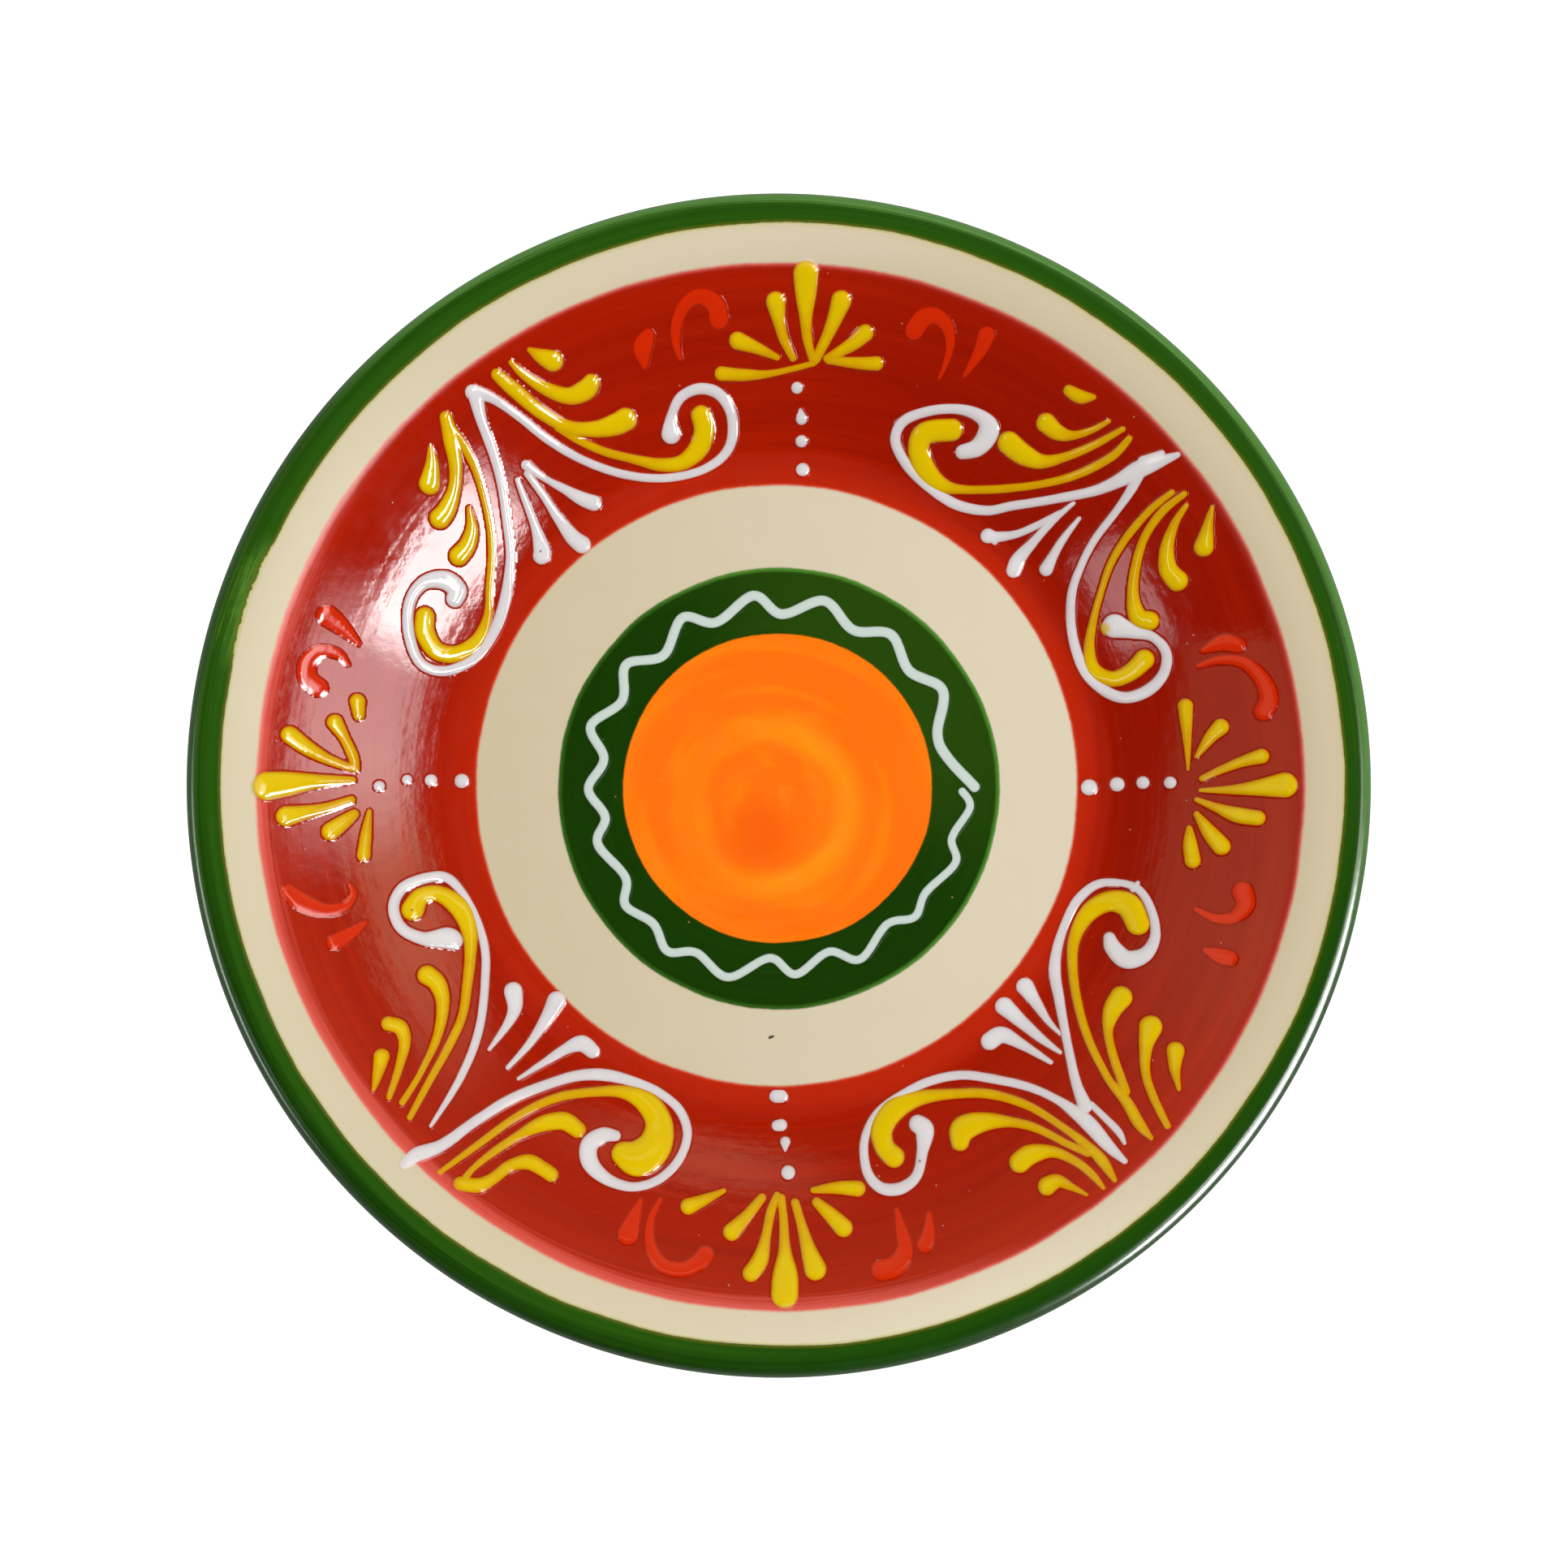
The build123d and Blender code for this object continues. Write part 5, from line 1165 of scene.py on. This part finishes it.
# yellow leaves beside the scrolls
leafStrokes = {
    "northeast_leaves_north": [
        [(59.4, 58.8, 0.55), (56.6, 55.9, 0.7), (51, 53.1, 0.7), (45, 51.6, 0.65), (38, 50.9, 0.7),
         (31.5, 50.9, 0.75), (28, 51.7, 1.3), (25.2, 54.3, 1.8), (24, 57.8, 1.8), (25.2, 60.4, 1.9),
         (29.6, 60.9, 1.85)],
        [(39.3, 58.6, 1.9), (41.8, 56.6, 1.75), (44.8, 55.4, 1.2), (48.3, 55.9, 0.8),
         (53.4, 57.8, 0.65), (58.3, 60.4, 0.45)],
        [(45.5, 61.8, 1.6), (47.4, 60.2, 1.3), (50, 59.6, 0.75), (53.2, 60.4, 0.55),
         (55.9, 61.8, 0.4)],
        [(49.2, 67, 0.9), (51.2, 65.9, 1.1), (53.3, 65.8, 0.45)],
    ],
    "northeast_leaves_east": [
        [(66.7, 49.7, 0.5), (63.2, 46.9, 0.6), (59.4, 42.4, 0.65), (56.8, 37.9, 0.6), (55.2, 33, 0.55),
         (54, 28.2, 0.65), (53.4, 23.6, 0.9), (54.2, 19.9, 1.25), (57.4, 18.3, 1.3), (60.4, 19.5, 1.5),
         (62.6, 21.6, 1.7)],
        [(68.7, 49.4, 0.5), (65.2, 46.6, 0.7), (62.3, 42.2, 0.7), (60.9, 37, 0.8), (60.6, 32.4, 1.0),
         (61.5, 28.9, 1.5), (63.4, 28.2, 1.6)],
        [(69.1, 47.5, 0.4), (67.3, 44.6, 0.7), (66.1, 40.6, 1.1), (66.3, 37, 1.5), (67.9, 34.9, 1.75)],
        [(73.3, 47.1, 0.35), (72.7, 44.2, 0.8), (72.1, 40.5, 1.6)],
    ],
    "northwest_leaves_north": [
        [(-37.8, 61.2, 0.6), (-34.6, 59.3, 0.65), (-30, 57.3, 0.7), (-25, 56.1, 0.75),
         (-20.5, 55.2, 1.1), (-16.6, 55.6, 1.3), (-13.8, 58, 1.7), (-12.8, 61, 1.75),
         (-13.3, 63.4, 1.75)],
        [(-47.7, 69.6, 1.0), (-44.9, 67.2, 1.25), (-40.6, 63.7, 1.15), (-36, 61.3, 1.1),
         (-31.4, 61, 1.35), (-28, 61.8, 1.8), (-26.2, 62.7, 1.9)],
        [(-45.3, 71.7, 0.45), (-43.2, 69.7, 0.75), (-39.6, 67.5, 1.1), (-35.8, 66.4, 1.4),
         (-33, 67.4, 1.7), (-31.9, 68.7, 1.4)],
        [(-42.2, 73.8, 0.4), (-40.3, 72.8, 1.2), (-38.4, 72.1, 1.75)],
    ],
    "northwest_leaves_west": [
        [(-55.6, 60.5, 0.9), (-53.2, 57.2, 0.75), (-51.2, 52.5, 0.65), (-49.7, 46, 0.6),
         (-49.2, 40.5, 0.65), (-49.7, 34, 0.65), (-50.1, 29, 0.75), (-52, 24.8, 1.2),
         (-55.5, 22.6, 1.4), (-58.8, 23.2, 1.5), (-60.6, 26.2, 1.6), (-60.6, 29, 1.55)],
        [(-56.4, 62.4, 1.0), (-55.6, 58.6, 1.3), (-55, 54.5, 1.1), (-55.3, 50.6, 1.05),
         (-56.6, 47.2, 1.5), (-57.8, 45.6, 1.7)],
        [(-52.9, 47.4, 0.4), (-52.5, 44, 1.0), (-53.3, 41.2, 1.4), (-54.8, 39.3, 1.6)],
        [(-59.1, 57.4, 0.35), (-58.9, 54.6, 1.1), (-59.4, 51.3, 1.75)],
    ],
    "southwest_leaves_south": [
        [(-57.3, -65.4, 0.4), (-51.2, -61.1, 0.6), (-44.5, -56.4, 0.65), (-38, -53.5, 0.75),
         (-31, -52.6, 0.8), (-26.3, -52.8, 1.15), (-22.7, -54.6, 1.9), (-20.6, -58, 2.3),
         (-21.3, -61.8, 2.9), (-24, -63.8, 3.0), (-26.6, -63, 2.0)],
        [(-53.2, -66.8, 0.7), (-51.9, -65, 0.5), (-48.6, -62.4, 0.65), (-44.4, -59.7, 0.75),
         (-40.6, -57.9, 1.3), (-36.9, -57.4, 1.5), (-34.4, -58.9, 1.35)],
        [(-53.9, -67.3, 1.1), (-50.8, -67.7, 1.2), (-48.4, -66.6, 1.0), (-45.6, -64.6, 1.0),
         (-42.6, -64.1, 1.25), (-40.3, -65.2, 1.2), (-38.7, -66.3, 1.15)],
    ],
    "southwest_leaves_west": [
        [(-62.5, -56.2, 0.5), (-59.4, -50.2, 0.6), (-56.4, -44.6, 0.7), (-54.2, -39.4, 0.75),
         (-53.4, -33.5, 0.85), (-53, -28.6, 1.0), (-53.3, -24.6, 1.4), (-55, -20.9, 1.7),
         (-58.4, -18.6, 1.35), (-61.4, -19.1, 1.5), (-62.7, -21.2, 1.9)],
        [(-63.8, -53.7, 0.55), (-60.8, -48.6, 0.5), (-58.3, -42.8, 0.75), (-57.5, -37.4, 1.1),
         (-58.4, -34, 1.45), (-60.2, -32.4, 1.6)],
        [(-66, -52.8, 0.45), (-64.7, -48.6, 0.65), (-63.7, -44, 0.95), (-64.4, -41.3, 1.2),
         (-66.4, -40.5, 1.2)],
        [(-68.6, -51.5, 0.3), (-67.9, -48.6, 0.9), (-67.4, -46, 1.3)],
    ],
    "southeast_leaves_south": [
        [(56.8, -66.7, 0.4), (54.8, -63.6, 0.95), (52.2, -61, 0.75), (47.8, -57.8, 0.6),
         (42.5, -54.7, 0.7), (36, -52.9, 0.8), (29.5, -53, 0.85), (24, -53.8, 1.3), (19.9, -55.7, 1.9),
         (17.7, -58.8, 1.9), (18.1, -61.8, 1.7), (19.7, -63.6, 1.8)],
        [(31, -61, 1.5), (31.6, -58.8, 2.1), (35, -57.6, 1.6), (39.4, -57.5, 0.9), (44, -58.5, 0.7),
         (49, -60.9, 0.6), (52.5, -62.4, 0.6)],
        [(41, -64.2, 1.7), (43, -62.8, 1.6), (46.6, -62.3, 0.95), (50.4, -63.8, 0.7),
         (53, -65.8, 0.65), (54.9, -68, 0.35)],
        [(45.5, -68, 1.5), (47.3, -67.1, 1.1), (49.6, -68, 0.6), (52.1, -69.2, 0.25)],
    ],
    "southeast_leaves_east": [
        [(63, -59.6, 0.35), (61, -57.2, 0.95), (59, -53.6, 0.9), (56.2, -50, 0.65), (53, -43.4, 0.7),
         (51.2, -36.8, 0.75), (50.5, -30.6, 0.85), (51, -26, 1.05), (53.3, -21.9, 1.5),
         (56.8, -19.9, 1.75), (60, -20.6, 2.1), (61.5, -23.6, 2.0)],
        [(58.6, -36.2, 1.85), (57, -38.6, 1.5), (56.3, -42, 0.8), (57.2, -46.6, 0.75),
         (59, -52, 0.75)],
        [(63.4, -41.1, 1.9), (62.5, -44.6, 1.1), (62.4, -49, 0.75), (63.7, -53.2, 0.7),
         (65.7, -57.5, 0.55)],
        [(67.4, -45, 1.45), (67.2, -48, 0.9), (67.8, -51.4, 0.3)],
    ],
}

# turning points of the wavy line, an open stroke that gets wider along its way
wavyLine = {
    "points": [(31.6, -1), (32.9, -3.8), (29.8, -9), (30.4, -13.3), (25.3, -18.4), (23.4, -22.6),
               (18.6, -23.9), (14, -29.9), (8.6, -28.6), (2.9, -32.5), (-1.6, -29.7), (-8.8, -33),
               (-14.2, -28.8), (-19.2, -28.5), (-21.6, -23.8), (-26.4, -20.6), (-26.4, -15.8),
               (-31.2, -10), (-29.9, -5.4), (-32.8, -0.6), (-30.1, 4.6), (-32.4, 10.2), (-27, 14.6),
               (-26.3, 20.8), (-19.9, 22.4), (-16.6, 28.9), (-10.8, 28.1), (-4.4, 32.7), (0.5, 29.5),
               (7.8, 31.8), (12.8, 26.8), (19.3, 26), (22.4, 19.8), (28.2, 16.4), (27.3, 9), (28.9, 5),
               (33.7, -0.2)],
    "startHalfWidth": 0.65,
    "endHalfWidth": 0.9,
}

print("trailing the slip")
whiteSlip = makeSlip("whiteSlip", paint(228, 220, 222), paint(236, 233, 234),
                     stain=((55.8, 26.9), 1.4, paint(238, 202, 2)))
thinWhiteSlip = makeSlip("thinWhiteSlip", paint(214, 228, 220), paint(226, 235, 228))
yellowSlip = makeSlip("yellowSlip", paint(224, 166, 0), paint(238, 202, 2))
orangeRedSlip = makeSlip("orangeRedSlip", paint(222, 44, 4), paint(238, 66, 12))
slipPieces = []
for strokesByNode, finish, slotName, fullness in ((sprayStrokes, yellowSlip, "yellow_slip", 1.0),
                                                  (dotStrokes, whiteSlip, "white_slip", 1.0),
                                                  (commaStrokes, orangeRedSlip, "orange_red_slip", 0.38),
                                                  (scrollStrokes, whiteSlip, "white_slip", 1.0),
                                                  (fanStrokes, whiteSlip, "white_slip", 1.0),
                                                  (leafStrokes, yellowSlip, "yellow_slip", 1.0)):
    for node, strokes in strokesByNode.items():
        slipPieces.append(trailSlip(node, strokes, finish, fullness))
last = len(wavyLine["points"]) - 1
growth = wavyLine["endHalfWidth"] - wavyLine["startHalfWidth"]
wavy = [(x, y, wavyLine["startHalfWidth"] + growth * i / last) for i, (x, y) in enumerate(wavyLine["points"])]
slipPieces.append(trailSlip("wavy_line", [wavy], thinWhiteSlip, 0.65))
bpy.data.objects.remove(glazedSurface)
print("slip triangles", sum(len(p.data.polygons) * 2 for p in slipPieces))

print("lights, floor and camera")
studio = {
    "domePower": 26.5,
    "roomGlow": 1.0,
    "floorGlow": 1.0,
}
# softboxes: azimuth, elevation, width and height in degrees; radiance; share of the half width that fades
# at the clockwise side, the other side, and above and below; tint; roll in degrees
softboxes = {
    "keySoftbox": (-34, 37.4, 35, 9, 18.5, (0.65, 0.45, 0.3), "cool", 0),
    "keyWing": (-8, 34.6, 44, 16, 4.8, (0.7, 0.9, 0.5), "cool", 0),
    "keyTail": (18, 38.0, 64, 11, 1.6, (0.8, 0.9, 0.7), "warm", 0),
    "farStrip": (78, 39.0, 54, 8, 0.9, (0.9, 0.9, 0.9), "warm", 0),
    "paleWindow": (166, 30.5, 64, 20, 0.42, (1.0, 0.05, 0.3), "warm", 0),
    "smallWindow": (208, 38.0, 20, 7, 2.6, (0.5, 0.2, 0.4), "cool", 0),
    "lowStrip": (-30, 17.0, 34, 10, 22.0, (0.5, 0.5, 0.5), "cool", 0),
    "lipStripRight": (-33, 15.0, 52, 24, 60.0, (0.5, 0.5, 0.5), "cool", 12),
    "lipStripFar": (66, 11.0, 60, 14, 1.4, (0.7, 0.7, 0.7), "cool", 0),
    "lipStripLeft": (197, 11.0, 52, 14, 12.0, (0.8, 0.8, 0.8), "cool", 0),
}
tints = {"cool": (1.0, 1.0, 1.0), "warm": (1.0, 0.9, 0.55)}
softboxDistance = 1.6


def hangSoftbox(name, azimuth, elevation, widthAngle, heightAngle, radiance, fades, tint, roll):
    around, up = math.radians(azimuth), math.radians(elevation)
    width = 2 * softboxDistance * math.tan(math.radians(widthAngle) / 2) * math.cos(up)
    height = 2 * softboxDistance * math.tan(math.radians(heightAngle) / 2)
    lamp = bpy.data.lights.new(name, "AREA")
    lamp.shape = "RECTANGLE"
    lamp.size, lamp.size_y = width, height
    lamp.energy = radiance * math.pi * width * height
    lamp.color = tints[tint]
    # the cloth is brightest in the middle and fades to its edges
    lamp.use_nodes = True
    tree = lamp.node_tree
    spot = addNode(tree, "ShaderNodeSeparateXYZ",
                   {"Vector": addNode(tree, "ShaderNodeNewGeometry").outputs["Parametric"]})
    across, upward = spot.outputs["X"], spot.outputs["Y"]
    shape = calc(tree, "MULTIPLY", ramp(tree, across, 0.0, 0.5 * fades[0]),
                 ramp(tree, across, 1.0, 1.0 - 0.5 * fades[1]))
    ends = ramp(tree, calc(tree, "ABSOLUTE", calc(tree, "SUBTRACT", upward, 0.5)), 0.5, 0.5 * (1 - fades[2]))
    tree.links.new(calc(tree, "MULTIPLY", shape, ends), tree.nodes["Emission"].inputs["Strength"])
    holder = bpy.data.objects.new(name, lamp)
    place = Vector((math.cos(around) * math.cos(up), math.sin(around) * math.cos(up), math.sin(up)))
    holder.location = place * softboxDistance
    turn = place.to_track_quat("Z", "Y") @ Quaternion((0.0, 0.0, 1.0), math.radians(roll))
    holder.rotation_euler = turn.to_euler()
    # only mirrored: the overhead fill does the lighting
    holder.visible_diffuse = False
    if name.startswith("lip"):
        # flags keep these off everything but the rim
        holder.light_linking.receiver_collection = rimOnly
    bpy.context.scene.collection.objects.link(holder)


rimOnly = bpy.data.collections.new("rimOnly")
rimOnly.objects.link(bpy.data.objects["greenRim"])
for name, sizes in softboxes.items():
    hangSoftbox(name, *sizes)

# a large even light overhead, which fills without being mirrored in the glaze
dome = bpy.data.lights.new("overheadFill", "AREA")
dome.shape = "DISK"
dome.size = 3.2
dome.energy = studio["domePower"] * math.pi
domeHolder = bpy.data.objects.new("overheadFill", dome)
domeHolder.location = (0.64, 0.26, 2.35)
domeHolder.visible_glossy = False
bpy.context.scene.collection.objects.link(domeHolder)

world = bpy.data.worlds.new("studioWorld")
bpy.context.scene.world = world
world.use_nodes = True
worldTree = world.node_tree
background = worldTree.nodes["Background"]
background.inputs["Strength"].default_value = studio["roomGlow"]
# the room: dark overhead and towards the near side, paler low down on the far side
direction = addNode(worldTree, "ShaderNodeTexCoord").outputs["Generated"]
room = addNode(worldTree, "ShaderNodeSeparateXYZ", {"Vector": direction})
farSide = ramp(worldTree, room.outputs["Y"], -0.35, 0.5)
low = calc(worldTree, "MULTIPLY", ramp(worldTree, room.outputs["Z"], 0.75, 0.1),
           ramp(worldTree, room.outputs["Z"], 0.05, 0.3))
glow = calc(worldTree, "MULTIPLY_ADD", calc(worldTree, "MULTIPLY", farSide, low), 0.5, 0.02)
# light that only fills: paler low down all round
path = addNode(worldTree, "ShaderNodeLightPath")
fill = calc(worldTree, "MULTIPLY", path.outputs["Is Diffuse Ray"],
            ramp(worldTree, room.outputs["Z"], 0.7, 0.1, 0.0, 1.05))
glow = calc(worldTree, "MAXIMUM", glow, fill)
warmth = ramp(worldTree, path.outputs["Is Diffuse Ray"], 0.0, 1.0, 0.55, 1.0)
dim = joinAxes(worldTree, glow, glow, calc(worldTree, "MULTIPLY", glow, warmth))
sky = mix(worldTree, path.outputs["Is Camera Ray"], dim, (1.0, 1.0, 1.0, 1.0))
worldTree.links.new(sky, background.inputs["Color"])

floorMesh = bpy.data.meshes.new("studioFloor")
floorMesh.from_pydata([(-3, -3, 0), (3, -3, 0), (3, 3, 0), (-3, 3, 0)], [], [(0, 1, 2, 3)])
floor = bpy.data.objects.new("studioFloor", floorMesh)
bpy.context.scene.collection.objects.link(floor)
floorPaint, floorTree, floorShader = startMaterial("paleFloor")
# the floor looks white, and is dimmer in what the lip mirrors
floorPath = addNode(floorTree, "ShaderNodeLightPath")
floorShader.inputs["Base Color"].default_value = (0.3, 0.3, 0.3, 1.0)
floorShader.inputs["Roughness"].default_value = 0.9
floorShader.inputs["Emission Color"].default_value = (1.0, 1.0, 1.0, 1.0)
floorTree.links.new(ramp(floorTree, floorPath.outputs["Is Glossy Ray"], 0.0, 1.0, studio["floorGlow"], 0.05),
                    floorShader.inputs["Emission Strength"])
# from below it lets the underside be seen
underneath = addNode(floorTree, "ShaderNodeNewGeometry").outputs["Backfacing"]
seeThrough = addNode(floorTree, "ShaderNodeBsdfTransparent")
either = addNode(floorTree, "ShaderNodeMixShader", {0: underneath, 1: floorShader.outputs[0],
                                                    2: seeThrough.outputs[0]})
floorTree.links.new(either.outputs[0], floorTree.nodes["Material Output"].inputs["Surface"])
floorMesh.materials.append(floorPaint)

camera = bpy.data.cameras.new("overheadCamera")
camera.sensor_width = 36.0
camera.lens = 132.3
camera.clip_end = 20
eye = bpy.data.objects.new("overheadCamera", camera)
eye.location = (0.00089, 0.00027, 1.0)
bpy.context.scene.collection.objects.link(eye)
bpy.context.scene.camera = eye

bpy.context.scene.view_settings.view_transform = "Standard"
bpy.context.scene.view_settings.look = "None"

print("finishing")
